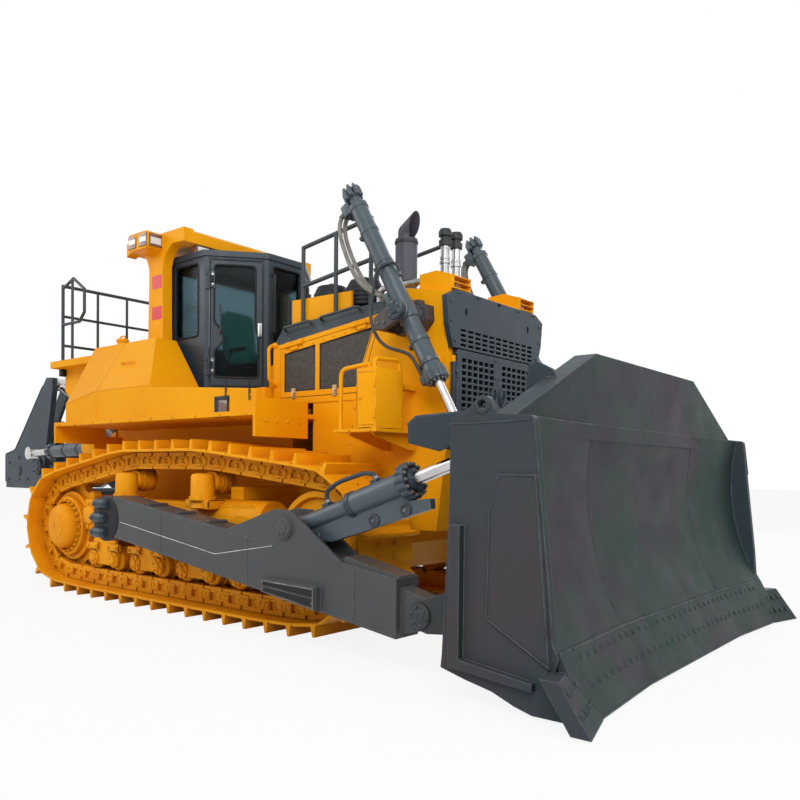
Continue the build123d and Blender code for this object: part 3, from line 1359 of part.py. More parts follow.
parts = {
    "main_frame": [make_main_frame()],
    "ripper_brackets": [s for lug in make_ripper_brackets() for s in pair(lug)],
    "radiator_guard": [guard],
    "front_mask": [make_mask()],
    "grille_door_right": [make_grille_door()],
    "grille_door_left": [flip(make_grille_door())],
    "hood": [hood],
    "hood_door_right": [make_hood_door()],
    "hood_door_left": [flip(make_hood_door())],
    "engine": make_engine(),
    "exhaust_stack": [make_exhaust()],
    "air_cleaners": make_cleaners(),
    "cab": [make_cab()],
    "cab_glass": make_cab_glass(),
    "cab_door_right": [make_cab_door()],
    "cab_door_left": [flip(make_cab_door())],
    "door_glass_right": [make_door_glass()],
    "door_glass_left": [flip(make_door_glass())],
    "rops": [make_rops()],
    "seat": make_seat(),
    "fender_right": [make_fender()],
    "fender_left": [flip(make_fender())],
    "rear_tank": [make_rear_tank()],
    "handrails": make_rear_rails() + make_hood_rails(),
    "front_lamps": make_lamps(),
    "lift_yokes": pair(make_yoke()),
    "side_steps": [s for box in make_steps() for s in pair(box)],
    "track_frames": pair(make_track_frame()),
    "track_right": [make_track()],
    "track_left": [flip(make_track())],
    "sprockets": pair(make_sprocket()),
    "idlers": pair(make_idler()),
    "bogie_rollers": [s for b in make_bogies() for s in pair(b)],
    "carrier_rollers": [s for c in make_carriers() for s in pair(c)],
    "push_arm_right": [make_push_arm()],
    "push_arm_left": [flip(make_push_arm())],
    "blade": [blade],
    "blade_lugs": [s for lug in make_blade_lugs() for s in pair(lug)],
    "cutting_edges": [make_edges()],
    "lift_barrels": pair(make_lift_barrel()),
    "lift_rods": pair(make_lift_rod()),
    "tilt_barrels": pair(make_tilt_barrel()),
    "tilt_rods": pair(make_tilt_rod()),
    "ripper_arm": [make_ripper_arm()],
    "ripper_pin": [make_ripper_pin()],
    "ripper_beam": [make_ripper_beam()],
    "ripper_shank": [make_shank()],
    "ripper_tilt_barrels": pair(rip_tilt[0]),
    "ripper_tilt_rods": pair(rip_tilt[1]),
    "ripper_lift_barrels": pair(rip_lift[0]),
    "ripper_lift_rods": pair(rip_lift[1]),
}

# The origin stands under the middle of the whole machine, from the end bits to the ripper.
origin_shift = Location((-(front_x + rip_rear_x) / 2, 0, 0))

os.makedirs("parts", exist_ok=True)
for name, shapes in parts.items():
    solids = [s for shape in shapes for s in shape.solids()]
    export_step(Compound(solids).moved(origin_shift), "parts/" + name + ".step")
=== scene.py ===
import bpy, bmesh, math
from mathutils import Matrix, Vector, noise as mathNoise


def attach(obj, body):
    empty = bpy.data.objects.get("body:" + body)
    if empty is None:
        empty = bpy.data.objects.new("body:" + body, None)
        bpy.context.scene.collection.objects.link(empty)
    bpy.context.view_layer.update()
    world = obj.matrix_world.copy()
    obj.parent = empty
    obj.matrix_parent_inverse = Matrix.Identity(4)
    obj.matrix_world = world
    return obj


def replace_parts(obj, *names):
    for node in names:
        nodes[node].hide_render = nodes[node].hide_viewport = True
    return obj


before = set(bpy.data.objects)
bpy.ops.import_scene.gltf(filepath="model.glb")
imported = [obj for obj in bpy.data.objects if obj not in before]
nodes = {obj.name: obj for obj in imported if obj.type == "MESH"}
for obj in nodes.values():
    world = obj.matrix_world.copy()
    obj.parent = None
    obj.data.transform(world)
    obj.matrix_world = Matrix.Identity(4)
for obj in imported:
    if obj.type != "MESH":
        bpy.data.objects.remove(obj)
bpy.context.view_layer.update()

rowShift = 0.22  # the machine's own X starts at the track's middle, the row's under the whole machine
sides = (-1, 1)
flanks = [(side, Vector((0, side, 0)), mark) for side, mark in ((-1, "R"), (1, "L"))]
handOf = {"R": "right", "L": "left"}


def spot(x, y, z):
    return Vector((x + rowShift, y, z))


yellowPaint = {"base": (0.92, 0.395, 0.004), "deep": (0.85, 0.325, 0.003), "rough": 0.42, "gloss": 0.05}
# hollowShade is the brown of the painted shade in the crawler's hollows
trackPaint = {"base": (0.94, 0.405, 0.004), "shade": (0.86, 0.300, 0.004), "hollowShade": (0.34, 0.095, 0.005),
              "rough": 0.48, "gloss": 0.14}
slatePaint = {"base": (0.028, 0.045, 0.063), "deep": (0.021, 0.033, 0.046), "rough": 0.36, "gloss": 0.24}
cylinderPaint = {"base": (0.066, 0.092, 0.110), "deep": (0.050, 0.070, 0.084), "rough": 0.32, "gloss": 0.36}
armPaint = {"base": (0.070, 0.072, 0.075), "deep": (0.056, 0.058, 0.061), "rough": 0.42, "gloss": 0.24}
bladePaint = {"base": (0.034, 0.050, 0.060), "deep": (0.052, 0.047, 0.052), "rough": 0.42, "gloss": 0.14}


class Nodes:
    # a small hand for wiring node trees
    def __init__(self, name):
        self.mat = bpy.data.materials.new(name)
        self.mat.use_nodes = True
        self.tree = self.mat.node_tree
        self.tree.nodes.clear()
        self.out = self.add("ShaderNodeOutputMaterial")
        self.bsdf = self.add("ShaderNodeBsdfPrincipled")
        self.join(self.bsdf.outputs[0], self.out.inputs["Surface"])

    def add(self, kind, **values):
        node = self.tree.nodes.new(kind)
        for key, value in values.items():
            setattr(node, key, value)
        return node

    def join(self, a, b):
        self.tree.links.new(a, b)

    def place(self):
        return self.add("ShaderNodeTexCoord").outputs["Object"]

    def noise(self, scale, detail=3.0, rough=0.55, vector=None):
        node = self.add("ShaderNodeTexNoise")
        node.inputs["Scale"].default_value = scale
        node.inputs["Detail"].default_value = detail
        node.inputs["Roughness"].default_value = rough
        self.join(vector or self.place(), node.inputs["Vector"])
        return node.outputs["Fac"]

    def texture(self, kind, scale, **values):
        node = self.add("ShaderNodeTex" + kind, **values)
        node.inputs["Scale"].default_value = scale
        self.join(self.place(), node.inputs["Vector"])
        return node

    def span(self, value, low, high, a=0.0, b=1.0):
        node = self.add("ShaderNodeMapRange")
        self.join(value, node.inputs["Value"])
        for key, number in (("From Min", low), ("From Max", high), ("To Min", a), ("To Max", b)):
            node.inputs[key].default_value = number
        return node.outputs[0]

    def math(self, kind, a, b=None):
        node = self.add("ShaderNodeMath", operation=kind)
        for i, value in enumerate((a, b)):
            if value is None:
                continue
            if isinstance(value, (int, float)):
                node.inputs[i].default_value = value
            else:
                self.join(value, node.inputs[i])
        return node.outputs[0]

    def mix(self, share, a, b):
        node = self.add("ShaderNodeMix", data_type="RGBA")
        self.join(share, node.inputs[0])
        for socket, value in ((node.inputs[6], a), (node.inputs[7], b)):
            if isinstance(value, tuple):
                socket.default_value = value + (1.0,)
            else:
                self.join(value, socket)
        return node.outputs[2]

    def clouds(self, scale, detail, low, high, a, b):
        return self.mix(self.span(self.noise(scale, detail), low, high), a, b)

    def xyz(self):
        node = self.add("ShaderNodeSeparateXYZ")
        self.join(self.place(), node.inputs[0])
        return node.outputs

    def edge(self, radius):
        # rounded shading on hard corners, and a mask of those corners
        bevel = self.add("ShaderNodeBevel", samples=4)
        bevel.inputs["Radius"].default_value = radius
        geo = self.add("ShaderNodeNewGeometry")
        dot = self.add("ShaderNodeVectorMath", operation="DOT_PRODUCT")
        self.join(bevel.outputs[0], dot.inputs[0])
        self.join(geo.outputs["Normal"], dot.inputs[1])
        return bevel.outputs[0], self.span(dot.outputs["Value"], 0.995, 0.86)

    def bump(self, height, strength, distance, normal=None):
        node = self.add("ShaderNodeBump")
        node.inputs["Strength"].default_value = strength
        node.inputs["Distance"].default_value = distance
        self.join(height, node.inputs["Height"])
        if normal is not None:
            self.join(normal, node.inputs["Normal"])
        self.join(node.outputs[0], self.bsdf.inputs["Normal"])

    def coat(self, weight):
        self.bsdf.inputs["Coat Weight"].default_value = weight
        self.bsdf.inputs["Coat Roughness"].default_value = 0.22

    def finish(self, colour, rough, metal=0.0, gloss=0.28):
        if isinstance(colour, tuple):
            self.bsdf.inputs["Base Color"].default_value = colour + (1.0,)
        else:
            self.join(colour, self.bsdf.inputs["Base Color"])
        if isinstance(rough, (int, float)):
            self.bsdf.inputs["Roughness"].default_value = rough
        else:
            self.join(rough, self.bsdf.inputs["Roughness"])
        self.bsdf.inputs["Metallic"].default_value = metal
        if not metal:
            self.bsdf.inputs["Specular IOR Level"].default_value = gloss
        return self.mat


def dusty(n, colour, tone, low, high, most):
    # a film of dust that thickens towards the ground
    z = n.xyz()[2]
    film = n.math("MULTIPLY", n.span(z, high, low), n.span(n.noise(2.6, 5), 0.35, 0.7))
    return n.mix(n.math("MULTIPLY", film, most), colour, tone)


def paintedMetal(name, paint, dust=0.35, dustTone=(0.36, 0.17, 0.035), highlightTone=None, highlightShare=0.35, coat=0.06):
    n = Nodes(name)
    normal, corner = n.edge(0.010)
    colour = n.clouds(0.9, 4, 0.35, 0.72, paint["base"], paint["deep"])
    colour = n.mix(n.span(n.noise(9, 6, 0.65), 0.62, 0.8, 0, 0.18), colour, paint["deep"])
    colour = dusty(n, colour, dustTone, 0.2, 2.0, dust)
    if highlightTone:
        # painted highlight: corners, in patches, turn to a paler tone as if light caught them
        cornerHighlight = n.math("MULTIPLY", corner, n.span(n.noise(14, 4), 0.3, 0.62, 0, highlightShare))
        colour = n.mix(cornerHighlight, colour, highlightTone)
    n.bump(n.noise(140, 2), 0.10, 0.0009, normal)
    n.coat(coat)
    rough = n.span(n.noise(5, 4), 0.3, 0.75, paint["rough"] - 0.06, paint["rough"] + 0.12)
    return n.finish(colour, rough, 0.0, paint.get("gloss", 0.25))


def crawlerPaint(name):
    # paint over cast links, with painted shade that browns the hollows (from ambient occlusion) and dust where the
    # ground rubs it
    n = Nodes(name)
    normal = n.edge(0.008)[0]
    # painted shade: ambient occlusion mixes the brown hollowShade colour into creases, recesses and the undersides of
    # parts
    occlusion = n.add("ShaderNodeAmbientOcclusion", samples=4)
    occlusion.inputs["Distance"].default_value = 0.32
    shade = n.span(occlusion.outputs["AO"], 0.15, 0.75, 0.85, 0.0)
    shade = n.math("MULTIPLY", shade, n.span(n.noise(7, 5), 0.2, 0.6, 0.6, 1.0))
    colour = n.clouds(1.7, 4, 0.35, 0.7, trackPaint["base"], trackPaint["shade"])
    colour = n.mix(shade, colour, trackPaint["hollowShade"])
    colour = dusty(n, colour, (0.46, 0.155, 0.008), 0.0, 1.5, 0.35)
    n.bump(n.noise(60, 4), 0.22, 0.003, normal)
    rough = n.span(n.noise(11, 4), 0.3, 0.75, trackPaint["rough"] - 0.08, trackPaint["rough"] + 0.2)
    return n.finish(colour, rough, 0.0, trackPaint["gloss"])


def hoodPaint(name):
    # yellow sides, and a slate strip between the shoulder line and the crown
    n = Nodes(name)
    normal = n.edge(0.010)[0]
    place = n.xyz()
    x, z = place[0], place[2]
    shoulder = n.math("ADD", n.math("MULTIPLY", x, 0.1235), 2.99 - 0.1235 * (0.98 + rowShift) - 0.004)
    crown = n.math("ADD", n.math("MULTIPLY", x, 0.0783), 3.23 - 0.0783 * (0.98 + rowShift) + 0.012)
    strip = n.math("MULTIPLY", n.math("GREATER_THAN", z, shoulder), n.math("LESS_THAN", z, crown))
    paint = n.clouds(0.9, 4, 0.35, 0.72, yellowPaint["base"], yellowPaint["deep"])
    slate = n.clouds(1.4, 4, 0.3, 0.7, (0.070, 0.088, 0.098), (0.046, 0.058, 0.066))
    n.bump(n.noise(140, 2), 0.10, 0.0009, normal)
    n.coat(0.06)
    return n.finish(n.mix(strip, paint, slate), n.span(n.noise(5, 4), 0.3, 0.75, 0.36, 0.52), 0.0, 0.06)


def mouldboardPaint(name):
    # long soft clouds of cooler and warmer slate, with scuffed lower plates
    n = Nodes(name)
    normal, corner = n.edge(0.012)
    cloud = n.span(n.noise(0.55, 3), 0.38, 0.66)
    colour = n.mix(cloud, bladePaint["base"], bladePaint["deep"])
    colour = n.mix(n.span(n.noise(1.3, 3), 0.55, 0.75, 0, 0.5), colour, (0.034, 0.064, 0.056))
    # painted shade: faces turned forward take darker green and purple clouds than the end plates, holding down the
    # light that falls on the hollow face
    facing = n.add("ShaderNodeSeparateXYZ")
    n.join(n.add("ShaderNodeNewGeometry").outputs["Normal"], facing.inputs[0])
    hollow = n.span(facing.outputs[0], 0.25, 0.70, 0.0, 0.9)
    forwardShadeTones = n.clouds(0.9, 3, 0.40, 0.62, (0.012, 0.034, 0.026), (0.026, 0.020, 0.030))
    colour = n.mix(hollow, colour, forwardShadeTones)
    z = n.xyz()[2]
    scuff = n.math("MULTIPLY", n.span(z, 0.75, 0.1), n.span(n.noise(5, 6, 0.7), 0.45, 0.7, 0, 0.45))
    colour = n.mix(scuff, colour, (0.060, 0.050, 0.062))
    # painted highlight: corners, in patches, turn pale bluish grey as if light caught them
    cornerHighlight = n.math("MULTIPLY", corner, n.span(n.noise(10, 4), 0.3, 0.6, 0.1, 0.6))
    colour = n.mix(cornerHighlight, colour, (0.20, 0.235, 0.26))
    n.bump(n.noise(90, 3), 0.14, 0.0012, normal)
    return n.finish(colour, n.span(n.noise(3, 4), 0.3, 0.75, 0.40, 0.56), 0.0, bladePaint["gloss"])


def bareMetal(name, tone, deep, rough, metal=1.0, streak=60):
    n = Nodes(name)
    stretch = n.add("ShaderNodeMapping")
    stretch.inputs["Scale"].default_value = (1.0, 1.0, 0.15)
    n.join(n.place(), stretch.inputs[0])
    lines = n.noise(streak, 3, 0.5, stretch.outputs[0])
    colour = n.clouds(6, 4, 0.35, 0.7, tone, deep)
    n.bump(lines, 0.08, 0.0006)
    return n.finish(colour, n.span(lines, 0.3, 0.7, rough - 0.05, rough + 0.1), metal)


def rubberHose(name, tone):
    n = Nodes(name)
    weave = n.texture("Wave", 120, bands_direction="DIAGONAL")
    weave.inputs["Distortion"].default_value = 1.5
    colour = n.clouds(12, 4, 0.35, 0.7, tone, tuple(0.55 * c for c in tone))
    n.bump(weave.outputs["Fac"], 0.25, 0.0012)
    return n.finish(colour, 0.55)


def tintedGlass(name):
    n = Nodes(name)
    film = n.span(n.noise(1.2, 2), 0.3, 0.7, 0.20, 0.26)
    n.bsdf.inputs["Transmission Weight"].default_value = 1.0
    n.bsdf.inputs["IOR"].default_value = 1.14
    n.bump(n.noise(1.1, 2), 0.03, 0.02)
    return n.finish((0.23, 0.33, 0.36), film, 0.0, 0.4)


def wireMesh(name):
    n = Nodes(name)
    colour = n.clouds(30, 4, 0.3, 0.7, (0.155, 0.140, 0.120), (0.085, 0.078, 0.070))
    n.bump(n.noise(300, 2), 0.2, 0.0006)
    return n.finish(colour, 0.5, 0.5)


def slipCover(name):
    # loosely woven green cover cloth
    n = Nodes(name)
    weave = n.texture("Wave", 190)
    colour = n.clouds(5, 5, 0.3, 0.7, (0.09, 0.66, 0.50), (0.04, 0.44, 0.34))
    n.bsdf.inputs["Sheen Weight"].default_value = 0.3
    n.bump(weave.outputs["Fac"], 0.3, 0.001)
    return n.finish(colour, 0.8)


def lampLens(name, tone):
    n = Nodes(name)
    ribs = n.texture("Wave", 22, bands_direction="Y").outputs["Fac"]
    colour = n.mix(n.span(ribs, 0.2, 0.8), tone, tuple(0.72 * c for c in tone))
    n.bump(ribs, 0.5, 0.004)
    n.bsdf.inputs["Coat Weight"].default_value = 0.6
    return n.finish(colour, 0.18)


def reflectiveTape(name):
    n = Nodes(name)
    cells = n.texture("Voronoi", 130).outputs["Distance"]
    colour = n.mix(n.span(cells, 0.1, 0.6), (0.86, 0.045, 0.055), (0.62, 0.022, 0.03))
    n.bump(cells, 0.2, 0.0008)
    return n.finish(colour, 0.28)


def plainMetal(name, base, deep, rough, dust=0.0):
    return paintedMetal(name, {"base": base, "deep": deep, "rough": rough}, dust)


# the yellow, slate, arm and cylinder paints take a pale tone on their corners: a painted highlight
finish = {
    "yellow": paintedMetal("machineYellow", yellowPaint, 0.3, highlightTone=(1.0, 0.55, 0.10), highlightShare=0.5),
    "hood": hoodPaint("hoodYellow"),
    "track": crawlerPaint("crawlerYellow"),
    "slate": paintedMetal("slateGrey", slatePaint, 0.16, (0.10, 0.085, 0.07), (0.20, 0.25, 0.29), 0.6, 0.12),
    "arm": paintedMetal("armGrey", armPaint, 0.16, (0.10, 0.085, 0.07), (0.24, 0.25, 0.26), 0.6, 0.1),
    "cylinder": paintedMetal("cylinderSlate", cylinderPaint, 0.08, (0.10, 0.09, 0.08), (0.26, 0.30, 0.33), 0.6, 0.12),
    "cast": plainMetal("castBrown", (0.085, 0.070, 0.066), (0.050, 0.046, 0.048), 0.55, 0.1),
    "blade": mouldboardPaint("mouldboardSlate"),
    # a dark orange for the painted shade inside the links' windows
    "linkShade": plainMetal("linkWindowShade", (0.20, 0.055, 0.006), (0.11, 0.030, 0.005), 0.7),
    "rail": plainMetal("railGrey", (0.050, 0.060, 0.068), (0.032, 0.038, 0.044), 0.34),
    "stack": plainMetal("stackBrown", (0.088, 0.088, 0.118), (0.060, 0.058, 0.074), 0.5),
    "rubber": plainMetal("cleanerBlack", (0.040, 0.046, 0.052), (0.022, 0.025, 0.028), 0.5),
    "dark": plainMetal("darkInside", (0.018, 0.019, 0.021), (0.010, 0.010, 0.012), 0.6),
    # a dark sheet colour, the painted shade behind the hood doors' screens
    "pitch": plainMetal("screenShadeBack", (0.060, 0.058, 0.054), (0.040, 0.038, 0.036), 0.6),
    "chrome": bareMetal("chromeRod", (0.66, 0.64, 0.65), (0.50, 0.48, 0.48), 0.2),
    "silver": bareMetal("zincTube", (0.44, 0.44, 0.45), (0.27, 0.27, 0.28), 0.36),
    "steel": bareMetal("wornSteel", (0.17, 0.165, 0.16), (0.10, 0.092, 0.086), 0.46, 0.8),
    "hose": rubberHose("hoseGrey", (0.27, 0.265, 0.235)),
    "glass": tintedGlass("tintedGlass"),
    "mesh": wireMesh("screenWire"),
    "cover": slipCover("greenCover"),
    "lens": lampLens("clearLens", (0.86, 0.87, 0.88)),
    "amber": lampLens("brownLens", (0.20, 0.075, 0.045)),
    "tape": reflectiveTape("redTape"),
    "latch": plainMetal("latchCream", (0.70, 0.55, 0.34), (0.56, 0.42, 0.25), 0.45),
}

nodeFinish = {
    "yellow": ["main_frame", "ripper_brackets", "radiator_guard", "hood_door_right", "hood_door_left", "rops",
               "fender_right", "fender_left", "rear_tank", "front_lamps", "side_steps"],
    "hood": ["hood"],
    "track": ["track_frames", "track_right", "track_left", "sprockets", "idlers", "bogie_rollers", "carrier_rollers"],
    "slate": ["front_mask", "grille_door_right", "grille_door_left", "cab", "cab_door_right", "cab_door_left",
              "lift_yokes", "ripper_arm", "ripper_beam"],
    "cylinder": ["lift_barrels", "tilt_barrels", "ripper_tilt_barrels", "ripper_lift_barrels"],
    "arm": ["push_arm_right", "push_arm_left"],
    "blade": ["blade", "blade_lugs", "cutting_edges"],
    "rail": ["handrails"], "stack": ["exhaust_stack"], "rubber": ["air_cleaners"], "dark": ["engine", "seat"],
    "chrome": ["lift_rods", "tilt_rods", "ripper_tilt_rods", "ripper_lift_rods"],
    "steel": ["ripper_pin", "ripper_shank"],
    "glass": ["cab_glass", "door_glass_right", "door_glass_left"],
}
for key, names in nodeFinish.items():
    for name in names:
        nodes[name].data.materials.clear()
        nodes[name].data.materials.append(finish[key])
print("finishes on", sum(len(v) for v in nodeFinish.values()), "nodes")


view = {"place": (7.538, -6.975, 1.590), "yaw": 129.98, "pitch": -0.981, "roll": 0.523,
        "lens": 35.319, "shiftX": 0.0352, "shiftY": 0.1068}


def setCamera():
    yaw, pitch, roll = (math.radians(view[k]) for k in ("yaw", "pitch", "roll"))
    ahead = Vector((math.cos(pitch) * math.cos(yaw), math.cos(pitch) * math.sin(yaw), math.sin(pitch)))
    right = Vector((math.sin(yaw), -math.cos(yaw), 0))
    up = right.cross(ahead)
    right, up = right * math.cos(roll) + up * math.sin(roll), up * math.cos(roll) - right * math.sin(roll)
    data = bpy.data.cameras.new("photoCamera")
    data.sensor_width, data.lens = 36.0, view["lens"]
    data.shift_x, data.shift_y = view["shiftX"], view["shiftY"]
    data.clip_end = 400
    cam = bpy.data.objects.new("photoCamera", data)
    m = Matrix((right, up, -ahead)).transposed().to_4x4()
    m.translation = spot(*view["place"])
    cam.matrix_world = m
    bpy.context.scene.collection.objects.link(cam)
    bpy.context.scene.camera = cam


studio = {"white": 0.88, "sky": 0.46, "floor": (0.86, 0.86, 0.86), "reach": 90,
          "lamps": [("keyLamp", (10, -12, 11), (0.5, 0, 1.5), 9, 1350),
                    ("frontLamp", (17, -1, 6), (2, 0, 1.5), 7, 480), ("rearLamp", (-12, -10, 10), (-2, 0, 2), 8, 560),
                    ("farLamp", (2, 14, 10), (0, 0, 1.5), 8, 500)]}


def setStudio():
    world = bpy.data.worlds.new("paleStudio")
    bpy.context.scene.world = world
    world.use_nodes = True
    tree = world.node_tree
    tree.nodes.clear()
    out, back, path, seen, more, scale = (tree.nodes.new("ShaderNode" + kind) for kind in ("OutputWorld",
            "Background", "LightPath", "Math", "Math", "MapRange"))
    for node in (seen, more):
        node.operation, node.use_clamp = "ADD", True
    scale.inputs["To Min"].default_value, scale.inputs["To Max"].default_value = studio["sky"], 1.0
    back.inputs["Color"].default_value = (1, 1, 1, 1)
    for a, b in ((path.outputs["Is Camera Ray"], seen.inputs[0]), (path.outputs["Is Glossy Ray"], seen.inputs[1]),
                 (seen.outputs[0], more.inputs[0]), (path.outputs["Is Transmission Ray"], more.inputs[1]),
                 (more.outputs[0], scale.inputs["Value"]), (scale.outputs[0], back.inputs["Strength"]),
                 (back.outputs[0], out.inputs[0])):
        tree.links.new(a, b)
    for name, place, target, size, power in studio["lamps"]:
        lamp = bpy.data.lights.new(name, "AREA")
        lamp.energy, lamp.size = power, size
        obj = bpy.data.objects.new(name, lamp)
        obj.location = place
        obj.rotation_euler = (Vector(target) - Vector(place)).to_track_quat("-Z", "Y").to_euler()
        bpy.context.scene.collection.objects.link(obj)
    mesh = bpy.data.meshes.new("studioFloor")
    r = studio["reach"]
    mesh.from_pydata([(-r, -r, 0), (r, -r, 0), (r, r, 0), (-r, r, 0)], [], [(0, 1, 2, 3)])
    floor = bpy.data.objects.new("studioFloor", mesh)
    n = Nodes("paleFloor")
    glow = n.add("ShaderNodeEmission")
    path = n.add("ShaderNodeLightPath")
    blend = n.add("ShaderNodeMixShader")
    # eye, mirror and glass rays see the floor nearly white, and it keeps its shadow
    rays = n.math("ADD", n.math("ADD", path.outputs["Is Camera Ray"], path.outputs["Is Glossy Ray"]),
                  path.outputs["Is Transmission Ray"])
    n.join(n.math("MULTIPLY", n.math("MINIMUM", rays, 1.0), studio["white"]), blend.inputs[0])
    n.join(n.bsdf.outputs[0], blend.inputs[1])
    n.join(glow.outputs[0], blend.inputs[2])
    n.join(blend.outputs[0], n.out.inputs["Surface"])
    mesh.materials.append(n.finish(studio["floor"], 0.8))
    bpy.context.scene.collection.objects.link(floor)
    bpy.context.scene.view_settings.view_transform = "Standard"


setCamera()
setStudio()
print("camera and studio set")


def mount(obj, body):
    bpy.context.scene.collection.objects.link(obj)
    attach(obj, body)
    return obj


def flat(points, y):
    # (x, z) points of an outline, all at one y
    return [spot(x, y, z) for x, z in points]


def oblong(x0, z0, x1, z1):
    return [(x0, z0), (x1, z0), (x1, z1), (x0, z1)]


def angles(count, shift=0):
    return [2 * math.pi * (i + shift) / count for i in range(count)]


class Kit:
    # gathers the faces of one piece before it becomes an object
    def __init__(self):
        self.bm = bmesh.new()

    def turn(self, base, axis, profile, count=20, hollow=False, spin=0.0):
        # a turned form: (distance along the axis, radius) pairs
        u = axis.normalized()
        v = u.orthogonal().normalized()
        w = u.cross(v)
        rings = []
        for s, r in profile:
            ring = []
            for i in range(count):
                a = spin + 2 * math.pi * i / count
                ring.append(self.bm.verts.new(base + u * s + (v * math.cos(a) + w * math.sin(a)) * r))
            rings.append(ring)
        if hollow:
            rings.append(rings[0])
        for a, b in zip(rings[:-1], rings[1:]):
            for i in range(count):
                j = (i + 1) % count
                self.bm.faces.new((a[i], a[j], b[j], b[i]))
        if not hollow:
            self.bm.faces.new(rings[0][::-1])
            self.bm.faces.new(rings[-1])

    def bail(self, a, b, rise, corner, r, count=8):
        # a bent rod: up from one foot, across, and down to the other
        self.bar(softCorners([a, a + rise, b + rise, b], corner), r, count)

    def band(self, base, axis, inner, outer, wide, count):
        self.turn(base, axis, [(0, inner), (0, outer), (wide, outer), (wide, inner)], count, True)

    def bolt(self, base, axis, r, high, spin=0.0):
        self.turn(base, axis, [(0, 1.45 * r), (0.22 * high, 1.45 * r), (0.26 * high, 1.3 * r)], 12)
        self.turn(base, axis, [(0.2 * high, r), (0.86 * high, r), (high, 0.84 * r)], 6, spin=spin)

    def rosette(self, base, axis, radius, number, r, high, start=0.0):
        u = axis.normalized()
        v = u.orthogonal().normalized()
        w = u.cross(v)
        for i in range(number):
            a = start + 2 * math.pi * i / number
            self.bolt(base + (v * math.cos(a) + w * math.sin(a)) * radius, axis, r, high, a)

    def slab(self, outline, depth):
        # a flat outline drawn out by a vector
        a = [self.bm.verts.new(p) for p in outline]
        b = [self.bm.verts.new(Vector(p) + depth) for p in outline]
        self.bm.faces.new(a[::-1])
        self.bm.faces.new(b)
        for i in range(len(a)):
            j = (i + 1) % len(a)
            self.bm.faces.new((a[i], a[j], b[j], b[i]))

    def block(self, middle, size, x=Vector((1, 0, 0)), y=Vector((0, 1, 0)), soft=0.0):
        x, y = x.normalized(), y.normalized()
        z = x.cross(y)
        corners = {}
        for i in (-1, 1):
            for j in (-1, 1):
                for k in (-1, 1):
                    place = middle + x * (i * size[0] / 2) + y * (j * size[1] / 2) + z * (k * size[2] / 2)
                    corners[i, j, k] = self.bm.verts.new(place)
        faces = []
        for axis in range(3):
            for end in (-1, 1):
                a, b = [n for n in range(3) if n != axis]
                loop = []
                for p, q in ((-1, -1), (1, -1), (1, 1), (-1, 1)):
                    key = [0, 0, 0]
                    key[axis], key[a], key[b] = end, p, q
                    loop.append(corners[tuple(key)])
                faces.append(self.bm.faces.new(loop))
        if soft:
            edges = list(dict.fromkeys(e for f in faces for e in f.edges))
            bmesh.ops.bevel(self.bm, geom=edges, offset=soft, segments=2, affect="EDGES", profile=0.6)

    def bar(self, path, r, count=10, closed=False):
        # a bent bar or bead along a path, mitred at its corners
        path = [Vector(p) for p in path]
        n = len(path)
        side = None
        rings = []
        for i, p in enumerate(path):
            before = path[i - 1] if closed or i else p
            after = path[(i + 1) % n] if closed or i < n - 1 else p
            a = (p - before).normalized() if (p - before).length else (after - p).normalized()
            b = (after - p).normalized() if (after - p).length else a
            t = (a + b).normalized()
            side = t.orthogonal().normalized() if side is None else (side - t * side.dot(t)).normalized()
            other = t.cross(side)
            wide = 1 / max(0.5, a.dot(t))
            ring = []
            for k in range(count):
                angle = 2 * math.pi * k / count
                off = side * math.cos(angle) + other * math.sin(angle)
                ring.append(self.bm.verts.new(p + off * r * (wide if 0 < i < n - 1 else 1)))
            rings.append(ring)
        pairs = list(zip(rings[:-1], rings[1:])) + ([(rings[-1], rings[0])] if closed else [])
        for a, b in pairs:
            for k in range(count):
                j = (k + 1) % count
                self.bm.faces.new((a[k], a[j], b[j], b[k]))
        if not closed:
            self.bm.faces.new(rings[0][::-1])
            self.bm.faces.new(rings[-1])

    def make(self, name, key, body="tractor", slot=None):
        bmesh.ops.recalc_face_normals(self.bm, faces=self.bm.faces[:])
        mesh = bpy.data.meshes.new(name)
        self.bm.to_mesh(mesh)
        self.bm.free()
        mesh.shade_smooth()
        mesh.set_sharp_from_angle(angle=math.radians(38))
        mesh.materials.append(finish[key])
        return mount(bpy.data.objects.new(name, mesh), body)


def kits(count):
    return [Kit() for _ in range(count)]


def softCorners(points, radius, closed=False):
    # the same path with its corners turned on small arcs
    points = [Vector(p) for p in points]
    n = len(points)
    made = []
    for i, p in enumerate(points):
        if not closed and i in (0, n - 1):
            made.append(p)
            continue
        a, b = points[i - 1] - p, points[(i + 1) % n] - p
        cut = min(radius, 0.45 * a.length, 0.45 * b.length)
        a, b = p + a.normalized() * cut, p + b.normalized() * cut
        for k in range(5):
            t = k / 4
            made.append(a * (1 - t) ** 2 + p * (2 * t * (1 - t)) + b * t * t)
    return made


def hose(name, points, r, key, body):
    # a hose held at both ends, on one smooth line
    data = bpy.data.curves.new(name, "CURVE")
    data.dimensions = "3D"
    data.bevel_depth, data.bevel_resolution, data.use_fill_caps = r, 3, True
    data.resolution_u = 8
    line = data.splines.new("NURBS")
    line.points.add(len(points) - 1)
    for point, place in zip(line.points, points):
        point.co = (*place, 1)
    line.order_u, line.use_endpoint_u = 3, True
    data.materials.append(finish[key])
    return mount(bpy.data.objects.new(name, data), body)


